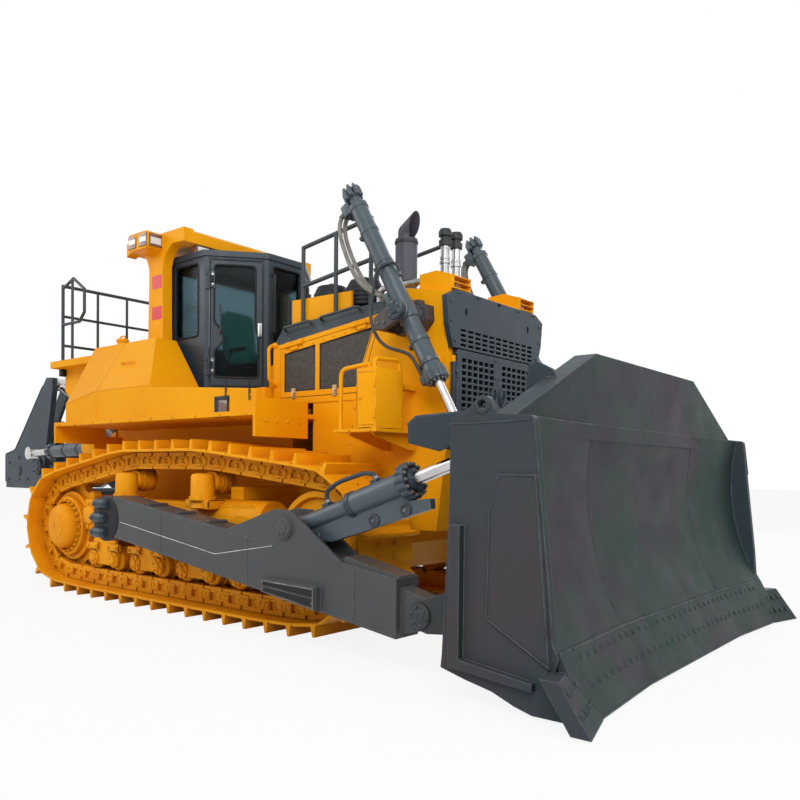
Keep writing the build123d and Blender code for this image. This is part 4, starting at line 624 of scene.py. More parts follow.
class Line:
    # a cylinder's own axes: s along it, out away from the machine's middle, top across both
    def __init__(self, pin, eye, y, side):
        self.start = spot(pin[0], side * y, pin[1])
        self.u = (spot(eye[0], side * y, eye[1]) - self.start).normalized()
        self.out = Vector((0, side, 0))
        self.top = Vector((-self.u.z, 0, self.u.x)) * (1 if self.u.x > 0 else -1)

    def at(self, s, out=0.0, top=0.0):
        return self.start + self.u * s + self.out * out + self.top * top

    def round(self, s, r, angle):
        return self.at(s, r * math.cos(angle), r * math.sin(angle))


ahead, across, up = Vector((1, 0, 0)), Vector((0, 1, 0)), Vector((0, 0, 1))
print("tools ready")

liftCylinder = {"pin": (3.03, 3.085), "eye": (4.24, 0.90), "y": 1.11, "barrel": 0.088, "head": -1.47, "neck": -1.27,
                "gland": 0.75, "rod": 0.044, "hose": 0.022, "pipe": 0.016}


def buildLiftCylinders():
    c = liftCylinder
    tubes, stems, eyes, bolts, bands, blocks = kits(6)
    r = c["barrel"]
    length = math.dist(c["pin"], c["eye"])
    for side, _, mark in flanks:
        line = Line(c["pin"], c["eye"], c["y"], side)
        # barrel with its bore, turned in one go from head to gland
        neck, gland = c["neck"] - c["head"], c["gland"] - c["head"]
        tubes.turn(line.at(c["head"]), line.u, [(0, 0.004), (0, 0.064), (0.085, 0.064), (0.09, 0.058),
                                                (neck - 0.02, 0.058), (neck, r), (1.38, r), (1.385, r + 0.016),
                                                (1.555, r + 0.016), (1.56, r), (gland - 0.15, r),
                                                (gland - 0.13, r + 0.015), (gland, r + 0.015),
                                                (gland, c["rod"] + 0.012), (neck, c["rod"] + 0.012), (neck, 0.004)],
                   40, True)
        for k in (-1, 1):
            tubes.turn(line.at(0, k * 0.095), line.out * k, [(0, 0.094), (0.026, 0.094), (0.032, 0.086)], 32)
            tubes.turn(line.at(0, k * 0.070), line.out * k, [(0, 0.066), (0.115, 0.066), (0.121, 0.060)], 32)
        # rod, and the eye on the blade's pin
        stems.turn(line.at(-0.17), line.u, [(0, c["rod"] - 0.004), (0.004, c["rod"]), (length + 0.09, c["rod"])], 32)
        eyes.turn(line.at(length, -0.070), line.out, [(0, 0.104), (0.008, 0.112), (0.132, 0.112), (0.140, 0.104)], 36)
        eyes.turn(line.at(length, -0.078), line.out, [(0, 0.058), (0.156, 0.058)], 28)
        eyes.turn(line.at(length - 0.18), line.u, [(0, c["rod"] + 0.004), (0.02, c["rod"] + 0.022),
                                                   (0.11, c["rod"] + 0.030)], 28)
        # the head's ring of lobes and bolts
        for a in angles(8, 0.5):
            place = line.round(c["head"], 0.074, a)
            blocks.turn(place, line.u, [(-0.004, 0.024), (0.0, 0.027), (0.085, 0.027), (0.093, 0.020)], 12)
            bolts.bolt(place - line.u * 0.002, -line.u, 0.016, 0.034, a)
        blocks.turn(line.at(c["head"]), -line.u, [(0, 0.048), (0.020, 0.044), (0.030, 0.034), (0.030, 0.010)], 20)
        blocks.turn(line.at(c["neck"] - 0.012), line.u, [(0, r - 0.004), (0, r + 0.010), (0.045, r + 0.010),
                                                         (0.052, r - 0.004)], 28, True)
        # the port block behind the head, with two fittings
        blocks.block(line.at(c["neck"] - 0.035, 0, -0.105), (0.13, 0.14, 0.10), line.u, line.out, 0.010)
        for k in (-1, 1):
            port = line.at(c["neck"] - 0.03, k * 0.036, -0.150)
            bolts.turn(port, -line.top, [(0, 0.030), (0.020, 0.030), (0.024, 0.026), (0.060, 0.026), (0.064, 0.018)],
                       6)
            hose("liftHose" + mark + "ab"[k > 0], [line.at(c["neck"] - 0.03, k * 0.036, -0.19),
                                                   line.at(c["neck"] + 0.01, k * 0.038, -0.285),
                                                   line.at(-0.88, k * 0.046, -0.335),
                                                   line.at(-0.56, k * 0.052 + 0.01, -0.31),
                                                   line.at(-0.36, k * 0.046, -0.20),
                                                   line.at(-0.24, k * 0.038, -0.115)], c["hose"], "hose",
                 "lift_barrels")
            bolts.turn(line.at(-0.30, k * 0.038, -0.155), line.u + line.top * 0.5,
                       [(0, 0.026), (0.01, 0.029), (0.06, 0.029), (0.07, 0.022)], 6)
        blocks.block(line.at(-0.215, 0, -0.095), (0.12, 0.14, 0.06), line.u, line.out, 0.008)
        # the gland: bolted flange, with a pipe that feeds it
        bolts.rosette(line.at(c["gland"] - 0.003), line.u, 0.076, 12, 0.012, 0.024)
        for a in angles(12):
            blocks.turn(line.round(c["gland"] - 0.105, 0.100, a), line.u,
                        [(0, 0.011), (0.005, 0.015), (0.102, 0.015)], 10)
        blocks.block(line.at(c["gland"] - 0.07, 0.02, -0.118), (0.09, 0.07, 0.05), line.u, line.out, 0.008)
        hose("glandPipe" + mark, [line.at(-0.41, -0.02, r - 0.004), line.at(-0.44, -0.01, r + 0.04),
                                  line.at(-0.50, 0.05, r + 0.03), line.at(-0.51, 0.115, 0.02),
                                  line.at(-0.46, 0.12, -0.09), line.at(-0.34, 0.11, -0.18),
                                  line.at(-0.16, 0.11, -0.33), line.at(0.04, 0.11, -0.35), line.at(0.20, 0.10, -0.30),
                                  line.at(0.32, 0.07, -0.18), line.at(0.40, 0.05, -0.118),
                                  line.at(0.56, 0.04, -0.112), line.at(c["gland"] - 0.10, 0.02, -0.118)], c["pipe"],
             "rail", "lift_barrels")
        blocks.block(line.at(-0.40, -0.02, r), (0.06, 0.05, 0.03), line.u, line.out, 0.006)
        for s, wide in ((-0.98, 0.036), (-0.60, 0.036), (0.30, 0.040), (0.53, 0.040)):
            bands.band(line.at(s), line.u, r - 0.003, r + 0.006, wide, 28)
            bands.block(line.at(s + wide / 2, 0, -r - 0.016), (wide, 0.055, 0.04), line.u, line.out, 0.005)
            bands.bolt(line.at(s + wide / 2, 0.027, -r - 0.018), line.out, 0.009, 0.014)
    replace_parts(tubes.make("liftTubes", "cylinder", "lift_barrels"), "lift_barrels")
    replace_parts(stems.make("liftStems", "chrome", "lift_rods"), "lift_rods")
    eyes.make("liftEyes", "slate", "lift_rods")
    bolts.make("liftBolts", "steel", "lift_barrels")
    blocks.make("liftHeadLobes", "cylinder", "lift_barrels")
    bands.make("liftBands", "cylinder", "lift_barrels")


tiltCylinder = {"pin": (2.48, 1.08), "eye": (4.40, 1.74), "y": 1.99, "barrel": 0.105, "neck": 0.08, "gland": 1.385,
                "pipe": 0.020}


def dressTiltCylinders():
    c = tiltCylinder
    bolts, lobes = kits(2)
    for side in sides:
        line = Line(c["pin"], c["eye"], c["y"], side)
        for a in angles(14):
            lobes.turn(line.round(c["gland"] - 0.076, 0.132, a), line.u,
                       [(-0.004, 0.020), (0.0, 0.025), (0.074, 0.025), (0.080, 0.020)], 10)
            bolts.bolt(line.round(c["gland"] + 0.002, 0.130, a), line.u, 0.016, 0.028, a)
        lobes.turn(line.at(c["gland"]), line.u, [(-0.002, 0.060), (-0.002, 0.098), (0.030, 0.092), (0.045, 0.074),
                                                 (0.045, 0.060)], 28, True)
        lobes.band(line.at(0.70), line.u, 0.10, 0.114, 0.05, 28)
        # the pipe over the neck, on two small feet
        hoop = softCorners([line.at(0.44, 0, 0.06), line.at(0.44, 0, 0.20), line.at(0.62, 0, 0.235),
                            line.at(0.92, 0, 0.215), line.at(1.02, 0, 0.17), line.at(1.02, 0, 0.09)], 0.07)
        lobes.bar(hoop, c["pipe"], 12)
        for s, base in ((0.44, 0.075), (1.02, 0.10)):
            lobes.block(line.at(s, 0, base), (0.085, 0.085, 0.05), line.u, line.out, 0.008)
            bolts.turn(line.at(s, 0, base + 0.02), line.top, [(0, 0.030), (0.03, 0.030), (0.034, 0.026)], 6)
        # ringed bosses on the skid plate
        for s, drop in ((0.24, 0.15), (0.92, 0.20), (1.26, 0.215)):
            face = line.at(s, 0.031, -drop)
            lobes.turn(face, line.out, [(0, 0.056), (0.014, 0.056), (0.020, 0.050), (0.020, 0.036), (0.008, 0.032),
                                        (0.008, 0.006)], 24)
            bolts.bolt(face + line.out * 0.006, line.out, 0.019, 0.022, s)
        lobes.turn(line.at(0, 0.074), line.out, [(0, 0.112), (0.006, 0.106), (0.006, 0.068), (0, 0.066)], 28, True)
    bolts.make("tiltBolts", "steel", "tilt_barrels")
    lobes.make("tiltGland", "slate", "tilt_barrels")


buildLiftCylinders()
dressTiltCylinders()
print("cylinders dressed")

crawler = {"gauge": 1.385, "shoes": 41, "linkOut": 0.105, "shoe": 0.030, "face": 1.537,
           "wheels": [(-2.29, 0.84, 0.585), (2.29, 0.885, 0.630), (-0.79, 1.47, 0.225), (0.67, 1.47, 0.225),
                      (-1.60, 0.47, 0.235), (1.62, 0.47, 0.235)]}


def beltPins():
    # the track's pins: a belt round its wheels, cut in equal pitches
    cloud = []
    for x, z, r in crawler["wheels"]:
        for a in angles(240):
            cloud.append((round(x + r * math.cos(a), 6), round(z + r * math.sin(a), 6)))
    cloud = sorted(set(cloud))
    belt = []
    for run in (cloud, cloud[::-1]):
        chain = []
        for p in run:
            while len(chain) > 1:
                (ax, az), (bx, bz) = chain[-2], chain[-1]
                if (bx - ax) * (p[1] - az) - (bz - az) * (p[0] - ax) > 0:
                    break
                chain.pop()
            chain.append(p)
        belt += chain[:-1]
    legs = [math.dist(belt[i], belt[(i + 1) % len(belt)]) for i in range(len(belt))]
    pitch = sum(legs) / crawler["shoes"]
    pins, walked = [], 0.0
    for i, leg in enumerate(legs):
        p, q = belt[i], belt[(i + 1) % len(belt)]
        while len(pins) * pitch < walked + leg and len(pins) < crawler["shoes"]:
            t = (len(pins) * pitch - walked) / leg
            pins.append((p[0] + t * (q[0] - p[0]), p[1] + t * (q[1] - p[1])))
        walked += leg
    return pins


def dressCrawlers():
    pins = beltPins()
    n = len(pins)
    for _, outward, mark in flanks:
        links, bolts, shadeSlabs = kits(3)
        for i in range(n):
            here, after = pins[i], pins[(i + 1) % n]
            step = math.dist(here, after)
            tx, tz = (after[0] - here[0]) / step, (after[1] - here[1]) / step
            along = Vector((tx, 0, tz))
            away = Vector((tz, 0, -tx))

            def at(s, h, y):
                return spot(here[0], 0, here[1]) + along * (s * step) + away * h + outward * y

            def bar(s0, s1, h0, h1, y0, thick):
                links.slab([at(s, h, y0) for s, h in oblong(s0, h0, s1, h1)], outward * thick)

            face = crawler["face"] - 0.004
            # a forged link: rail edge, shoe seat, and two cheeks about its window
            bar(0.02, 0.95, -0.092, -0.050, face, 0.024)
            bar(0.05, 0.95, 0.052, 0.100, face, 0.030)
            bar(0.12, 0.36, -0.056, 0.056, face, 0.036)
            bar(0.64, 0.90, -0.056, 0.056, face, 0.022)
            bar(0.36, 0.64, -0.056, -0.030, face, 0.026)
            links.turn(at(0.0, 0, face), outward, [(0, 0.060), (0.030, 0.060), (0.036, 0.052), (0.036, 0.034),
                                                   (0.026, 0.030), (0.026, 0.004)], 16)
            links.turn(at(0.24, 0.004, face + 0.034), outward,
                       [(0, 0.034), (0.006, 0.034), (0.010, 0.028), (0.004, 0.022), (0.004, 0.003)], 12)
            # painted shade: a thin dark orange slab in each link's window stands in for the shade inside it
            shadeSlabs.slab([at(q, h, face) for q, h in oblong(0.37, -0.028, 0.63, 0.050)], outward * 0.003)
            for s in (0.20, 0.56):
                for y in (-0.112, 0.112):
                    bolts.bolt(at(s, crawler["linkOut"] + crawler["shoe"] - 0.001, crawler["gauge"] + y), away, 0.020,
                               0.026, i + s)
            # nuts on the inner side of each shoe
            for s in (0.30, 0.60):
                bolts.turn(at(s, 0.050, face + 0.018), -away, [(-0.010, 0.017), (0.022, 0.017), (0.028, 0.013)], 6)
        links.make("trackLinks" + mark, "track")
        bolts.make("shoeBolts" + mark, "track")
        shadeSlabs.make("linkShadeSlabs" + mark, "linkShade")


wheels = {"rollers": [-1.60 + i * 0.46 for i in range(8)], "rollerZ": 0.47, "rollerFace": 1.577,
          "carriers": (-0.79, 0.67), "carrierZ": 1.47, "hub": (-2.29, 0.84), "idler": (2.29, 0.885)}


def dressWheels():
    w = wheels
    caps, bolts = kits(2)
    for side, out, _ in flanks:
        x, z = w["hub"]
        # a flat domed cover over the final drive, with a ring of bolts and a plug hole
        bolts.rosette(spot(x, side * 1.580, z), out, 0.332, 24, 0.017, 0.034)
        caps.turn(spot(x, side * 1.568, z), out, [(0, 0.292), (0.085, 0.292), (0.122, 0.272), (0.152, 0.218),
                                                  (0.168, 0.140), (0.175, 0.032), (0.155, 0.028), (0.155, 0.004)], 48)
        caps.turn(spot(x, side * 1.556, z), out, [(0, 0.386), (0.012, 0.386), (0.016, 0.380), (0.016, 0.325),
                                                  (0.004, 0.318)], 48)
        for x in w["rollers"]:
            base = spot(x, side * (w["rollerFace"] - 0.004), w["rollerZ"])
            caps.turn(base, out, [(0, 0.098), (0.020, 0.098), (0.028, 0.090), (0.028, 0.052), (0.044, 0.046),
                                  (0.050, 0.036), (0.050, 0.008)], 24)
            bolts.rosette(base + out * 0.026, out, 0.073, 6, 0.012, 0.016)
            caps.block(base + up * 0.150 + out * 0.012, (0.26, 0.05, 0.09), ahead, out, 0.012)
            for k in (-1, 1):
                bolts.bolt(base + up * 0.150 + out * 0.036 + ahead * (k * 0.085), out, 0.016, 0.022)
        for x in w["carriers"]:
            base = spot(x, side * 1.716, w["carrierZ"])
            caps.turn(base, out, [(0, 0.078), (0.016, 0.078), (0.024, 0.070), (0.024, 0.036), (0.034, 0.030),
                                  (0.034, 0.006)], 24)
            bolts.rosette(base + out * 0.022, out, 0.055, 5, 0.011, 0.014)
            # ribs of the carrier roller and feet of its pedestal
            for k in range(4):
                caps.turn(spot(x, side * (1.27 + 0.055 * k), w["carrierZ"]), out,
                          [(0, 0.125), (0.004, 0.134), (0.022, 0.134), (0.026, 0.125)], 28)
            caps.block(spot(x, side * 1.60, 1.225), (0.40, 0.24, 0.10), ahead, out, 0.012)
            foot = spot(x, side * 1.635, 1.268)
            tall = w["carrierZ"] + 0.088 - 1.268
            caps.turn(foot, up, [(0, 0.150), (0.034, 0.150), (0.040, 0.132), (tall - 0.03, 0.128),
                                 (tall - 0.008, 0.112), (tall, 0.080), (tall, 0.006)], 32)
            bolts.rosette(foot + up * 0.030, up, 0.141, 8, 0.010, 0.012)
        # the bolted round cover on the frame behind the arm's end
        caps.block(spot(-1.735, side * 1.500, 1.01), (0.28, 0.10, 0.40), ahead, out, 0.014)
        base = spot(-1.66, side * 1.549, 1.01)
        caps.turn(base, out, [(0, 0.195), (0.040, 0.195), (0.052, 0.180), (0.052, 0.120), (0.085, 0.108),
                              (0.092, 0.090), (0.092, 0.010)], 36)
        bolts.rosette(base + out * 0.050, out, 0.150, 12, 0.016, 0.022)
        # frame cover plates with their bolts
        for x0, x1 in ((-0.55, 0.25), (0.42, 1.20)):
            mid = spot((x0 + x1) / 2, side * 1.556, 0.985)
            caps.block(mid, (x1 - x0, 0.03, 0.30), ahead, out, 0.008)
            for k in range(5):
                for h in (-0.12, 0.12):
                    bolts.bolt(mid + ahead * ((k - 2) * (x1 - x0 - 0.12) / 4) + up * h + out * 0.013, out, 0.014,
                               0.018, k)
        x, z = w["idler"]
        base = spot(x, side * 1.553, z)
        caps.turn(base, out, [(0, 0.17), (0.03, 0.17), (0.04, 0.155), (0.04, 0.095), (0.06, 0.085), (0.06, 0.01)], 32)
        bolts.rosette(base + out * 0.038, out, 0.125, 8, 0.016, 0.020)
    caps.make("wheelCaps", "track")
    bolts.make("wheelBolts", "track")


dressCrawlers()
dressWheels()
print("crawlers dressed")

pushArm = {"rear": -0.27, "length": 4.01, "high": (1.295, 0.752), "low": (0.84, 0.275), "face": 2.137, "step": 2.199,
           "weld": [(-0.133, 1.014), (1.509, 0.783), (2.314, 0.915)], "bead": 0.0045}


def dressArms():
    a = pushArm
    for side, out, mark in flanks:
        beads, caps, bolts, grip = kits(4)

        def edge(ends, x):
            return ends[0] + (x - a["rear"]) * (ends[1] - ends[0]) / a["length"]

        face = side * (a["face"] + 0.0005)
        line = Kit()
        line.bar(flat(a["weld"], face), a["bead"], 8)
        line.make("armSeam" + mark, "silver", "push_arms")
        for x in (0.62, 1.98, 3.30):
            beads.bar([spot(x, face, edge(a["low"], x) + 0.02), spot(x, face, edge(a["high"], x) - 0.02)], 0.005, 8)
        for ends, lift in ((a["high"], -0.022), (a["low"], 0.022)):
            beads.bar([spot(x, face, edge(ends, x) + lift) for x in (-0.26, 3.72)], 0.005, 8)
        # the trunnion's cap on the arm's rounded end, with three fingers; the cap is near black, painted shade that
        # shows in the gaps between the fingers
        fingers, cap = kits(2)
        base = spot(-0.42, side * (a["face"] - 0.002), 1.04)
        cap.turn(base, out, [(0, 0.250), (0.010, 0.250), (0.014, 0.244), (0.014, 0.010)], 44)
        for x, z in ((-0.345, 1.205), (-0.395, 1.045), (-0.395, 0.880)):
            for w, r in ((a["face"] + 0.022, 0.060), (a["face"] - 0.110, 0.050)):
                fingers.turn(spot(x, side * w, z), -ahead, [(0, r - 0.02), (0.015, r - 0.004), (0.03, r), (0.215, r),
                                                            (0.245, r - 0.010), (0.262, r - 0.030), (0.262, 0.004)],
                             20)
            bolts.bolt(spot(x - 0.20, side * (a["face"] + 0.078), z), out, 0.018, 0.022, z)
        cap.make("armCap" + mark, "dark", "push_arms")
        fingers.make("armFingers" + mark, "slate", "push_arms")
        # the step's saw-toothed grip, inside its hollow
        for k in range(20):
            q = 2.275 + k * 0.031
            rise = 0.552 - 0.075 * (q - 2.262)
            notch = [(q, rise), (q + 0.026, rise - 0.002), (q + 0.013, rise + 0.024)]
            grip.slab(flat(notch, side * (a["step"] + 0.001)), out * 0.010)
        # the step's hollow: a dark sheet of painted shade, in a raised lip
        lip = [(2.262, 0.512), (2.900, 0.424), (2.900, 0.590), (2.262, 0.604)]
        hollow = Kit()
        hollow.slab(flat(lip, side * (a["step"] - 0.001)), out * 0.004)
        hollow.make("stepShadeSheet" + mark, "dark", "push_arms")
        grip.bar(flat(lip, side * (a["step"] + 0.003)), 0.011, 8, True)
        for s in (2.27, 2.89):
            bolts.bolt(spot(s, side * (a["step"] - 0.001), 0.535 - 0.10 * (s - 2.24)), out, 0.014, 0.018)
        # the tilt pin's boss
        boss = spot(2.48, side * (a["face"] + 0.024), 1.08)
        caps.turn(boss, out, [(0, 0.084), (0.010, 0.080), (0.010, 0.052), (0.022, 0.046), (0.022, 0.008)], 28)
        bolts.rosette(boss + out * 0.009, out, 0.066, 6, 0.010, 0.012)
        # ribs across the arm's top
        for x in (0.35, 0.85, 1.35):
            caps.block(spot(x, side * 1.99, edge(a["high"], x) + 0.010), (0.05, 0.24, 0.028), Vector((1, 0, -0.1354)),
                       across, 0.006)
        beads.make("armWelds" + mark, "arm", "push_arms")
        caps.make("armCaps" + mark, "arm", "push_arms")
        bolts.make("armBolts" + mark, "steel", "push_arms")
        grip.make("armGrip" + mark, "steel", "push_arms")


bladeSeams = {"low": (5.19, 0.42), "mid": (4.905, 1.1975), "top": (4.93, 1.975), "sweep": 0.09, "centre": 1.17,
              "half": 2.43}


def wingShift(y):
    b = bladeSeams
    return b["sweep"] * max(0.0, abs(y) - b["centre"]) / (b["half"] - b["centre"])


def boardLine(y, count=14):
    # points up the mouldboard's curve at one place across it
    (ax, az), (bx, bz), (cx, cz) = (bladeSeams[k] for k in ("low", "mid", "top"))
    d = 2 * (ax * (bz - cz) + bx * (cz - az) + cx * (az - bz))
    a2, b2, c2 = ax * ax + az * az, bx * bx + bz * bz, cx * cx + cz * cz
    ox = (a2 * (bz - cz) + b2 * (cz - az) + c2 * (az - bz)) / d
    oz = (a2 * (cx - bx) + b2 * (ax - cx) + c2 * (bx - ax)) / d
    r = math.hypot(ax - ox, az - oz)
    made = []
    for i in range(count + 1):
        z = az + (cz - az) * i / count
        x = ox - math.sqrt(max(0.0, r * r - (z - oz) ** 2))
        made.append(spot(x + wingShift(y), y, z))
    return made


bladePlate = 2.432  # outer face of the end plates
bladeEdge = {"tip": 5.40, "run": 0.215, "foot": 0.02, "rise": 0.43, "bit": 0.31, "bolts": 0.1325, "end": 2.12,
             "bitIn": (2.20, 5.4823), "bitOut": (2.64, 5.60)}


def dressBlade():
    seams, bolts, caps = kits(3)
    for y in (-1.17, 1.17):
        seams.bar(boardLine(y), 0.004, 8)
    e = bladeEdge
    front = Vector((0.8945, 0, 0.4472))
    y = -e["end"]
    while y < e["end"] + 0.01:
        for share in (0.46, 0.84):
            x = e["tip"] - e["run"] * share + wingShift(y)
            bolts.turn(spot(x, y, e["foot"] + e["rise"] * share) - front * 0.003, front,
                       [(0, 0.024), (0.006, 0.024), (0.010, 0.018), (0.010, 0.004)], 12)
        y += e["bolts"]
    for k in (0.02, 0.98):
        stations = (-2.19, -1.17, 0, 1.17, 2.19)
        seams.bar([spot(e["tip"] - e["run"] * k + wingShift(y) + 0.003, y,
                        e["foot"] + e["rise"] * k) for y in stations], 0.006, 8)
    # end plates: seams, pin covers and the end bits' bolts
    for side, out, _ in flanks:
        face = side * (bladePlate + 0.0135)
        plate = [(4.83, 1.58), (5.11, 1.575), (5.22, 0.355), (4.755, 0.61), (4.77, 1.31)]
        seams.bar(flat(plate, face), 0.007, 8, True)
        seams.bar([spot(5.085, side * bladePlate, 1.93), spot(5.125, side * bladePlate, 1.60)], 0.006, 8)
        seams.bar([spot(4.41, side * bladePlate, 1.93), spot(4.70, side * bladePlate, 1.93),
                   spot(5.06, side * bladePlate, 1.94)], 0.006, 8)
        caps.turn(spot(4.694, side * 2.428, 2.051), out, [(0, 0.062), (0.010, 0.062), (0.014, 0.056), (0.014, 0.036),
                                                          (0.002, 0.034)], 28, True)
        for x, z, y0 in ((3.98, 0.49, 2.15), (4.40, 1.74, 2.137)):
            base = spot(x, side * (y0 - 0.012), z)
            if x < 4:
                caps.turn(base, out, [(0, 0.098), (0.020, 0.098), (0.028, 0.088), (0.028, 0.050), (0.036, 0.044),
                                      (0.036, 0.008)], 28)
                bolts.rosette(base + out * 0.026, out, 0.070, 6, 0.012, 0.014)
            else:
                caps.turn(base, out, [(0, 0.070), (0.014, 0.070), (0.020, 0.062), (0.020, 0.008)], 24)
        for k in range(4):
            for share in (0.35, 0.75):
                y = 2.25 + 0.105 * k
                (y0, x0), (y1, x1) = e["bitIn"], e["bitOut"]
                tip = x0 + (x1 - x0) * (y - y0) / (y1 - y0)
                lean = e["run"] * e["bit"] / e["rise"] + 0.06
                facing = Vector((e["bit"], 0, lean)).normalized()
                bolts.bolt(spot(tip - lean * share, side * y, e["foot"] + e["bit"] * share), facing, 0.020, 0.018, k)
    # folded covers over the tilt rods' eyes
    cover = [(3.83, 1.965), (3.91, 2.020), (4.46, 2.045), (4.72, 1.99), (4.72, 1.87), (4.44, 1.875), (4.13, 1.75),
             (3.84, 1.815)]
    guards = Kit()
    for side in sides:
        for y in (1.852, 2.112):
            guards.slab(flat(cover, side * y), Vector((0, side * 0.018, 0)))
        for (ax, az), (bx, bz) in zip(cover[:3], cover[1:4]):
            run = Vector((bx - ax, 0, bz - az))
            mid = spot((ax + bx) / 2, side * 1.991, (az + bz) / 2)
            guards.block(mid, (run.length + 0.012, 0.275, 0.018), run, across, 0.005)
        guards.block(spot(3.836, side * 1.991, 1.89), (0.016, 0.26, 0.15), soft=0.005)
    guards.make("rodGuards", "blade", "blade")
    seams.make("bladeWelds", "blade", "blade")
    bolts.make("edgeBolts", "blade", "blade", "worn_steel")
    caps.make("bladePinCovers", "blade", "blade")


dressArms()
dressBlade()
print("arms and blade dressed")

hoodDoor = {"rear": 1.096, "front": 2.274, "lean": 0.25, "sill": 2.406, "split": 1.665, "rim": 0.06, "face": 0.90,
            "floor": 0.875, "wire": 0.0022, "pitch": 0.015}


hoodShape = {"rear": 0.98, "length": 1.66, "shoulder": 2.99, "shoulderRise": 0.205, "crown": 3.23, "crownRise": 0.13,
             "doorDrop": 0.0585, "half": 0.90, "stripIn": 0.16}


def hoodLine(x):
    h = hoodShape
    return h["shoulder"] + (x - h["rear"]) / h["length"] * h["shoulderRise"] - h["doorDrop"]


def dressHoodDoors():
    d = hoodDoor
    for side, out, mark in flanks:
        body = "hood_door_" + handOf[mark]
        wires, frames, latches, bolts, shadeBacks = kits(5)
        low = d["sill"] + d["rim"]
        fields = [(d["rear"] + d["rim"], d["split"] - 0.03, 0.0), (d["split"] + 0.03, d["front"] - d["rim"], 1.0)]
        for x0, x1, slant in fields:
            def limit(z):
                share = (z - d["sill"]) / (hoodLine(2.4) - d["sill"])
                return x1 + slant * d["lean"] * min(1.0, max(0.0, share))

            y = side * (d["floor"] + 0.010)
            x = x0 + 0.008
            while x < limit(hoodLine(x0)) - 0.006:
                top = hoodLine(x) - d["rim"] - 0.008
                base = low + 0.006
                if slant and x > x1:
                    base = max(base, d["sill"] + (x - x1) / d["lean"] * (hoodLine(2.4) - d["sill"]) + 0.010)
                if top - base > 0.02:
                    wires.slab(flat(oblong(x, base, x + 2 * d["wire"], top), y), out * 0.003)
                x += d["pitch"]
            z = low + 0.008
            while z < hoodLine(x1) - d["rim"]:
                a, b = x0 + 0.006, limit(z) - 0.006
                if hoodLine(a) - d["rim"] < z:
                    h = hoodShape
                    rise = z + d["rim"] + h["doorDrop"] - h["shoulder"]
                    a = min(b, h["rear"] + rise / h["shoulderRise"] * h["length"] + 0.008)
                if b - a > 0.02:
                    wires.slab(flat(oblong(a, z, b, z + 2 * d["wire"]), y + side * 0.002), out * 0.003)
                z += d["pitch"]
            # a dark bead that holds the screen in its recess
            lip = [(x0 + 0.004, low + 0.004), (limit(low) - 0.004, low + 0.004),
                   (limit(hoodLine(x1)) - 0.006, hoodLine(limit(hoodLine(x1))) - d["rim"] - 0.006),
                   (x0 + 0.004, hoodLine(x0) - d["rim"] - 0.006)]
            frames.bar(flat(lip, side * (d["floor"] + 0.012)), 0.009, 8, True)
            # painted shade: a dark sheet behind the screen stands in for the shaded engine bay
            shadeBacks.slab(flat(lip, side * (d["floor"] - 0.001)), out * 0.004)
        # latch boxes on the lower rim
        for x in (1.315, 1.93):
            latches.block(spot(x, side * 0.905, 2.445), (0.060, 0.022, 0.115), ahead, out, 0.006)
            latches.block(spot(x, side * 0.920, 2.430), (0.034, 0.016, 0.052), ahead, out, 0.005)
            bolts.bolt(spot(x, side * 0.915, 2.486), out, 0.008, 0.010)
        for k in range(9):
            x = 1.13 + k * 0.155
            bolts.bolt(spot(x, side * 0.8995, hoodLine(x) - 0.028 - 0.004), out, 0.008, 0.008, k)
        shadeBacks.make("screenShadeBacks" + mark, "pitch", body)
        wires.make("screenWires" + mark, "mesh", body)
        frames.make("screenBeads" + mark, "dark", body)
        latches.make("doorLatches" + mark, "latch", body)
        bolts.make("doorScrews" + mark, "yellow", body)


hoodTop = {"handles": [(1.10, 1.50), (1.66, 2.20)], "handle": 0.016, "tubes": [(2.72, -0.05), (2.74, 0.13)],
           "tube": 0.046}


def stripSpot(x, share):
    # a place on the slate strip, from its shoulder (0) to the crown (1)
    h = hoodShape
    shoulder = h["shoulder"] + (x - h["rear"]) / h["length"] * h["shoulderRise"]
    crown = h["crown"] + (x - h["rear"]) / h["length"] * h["crownRise"]
    return h["half"] - h["stripIn"] * share, shoulder + (crown - shoulder) * share


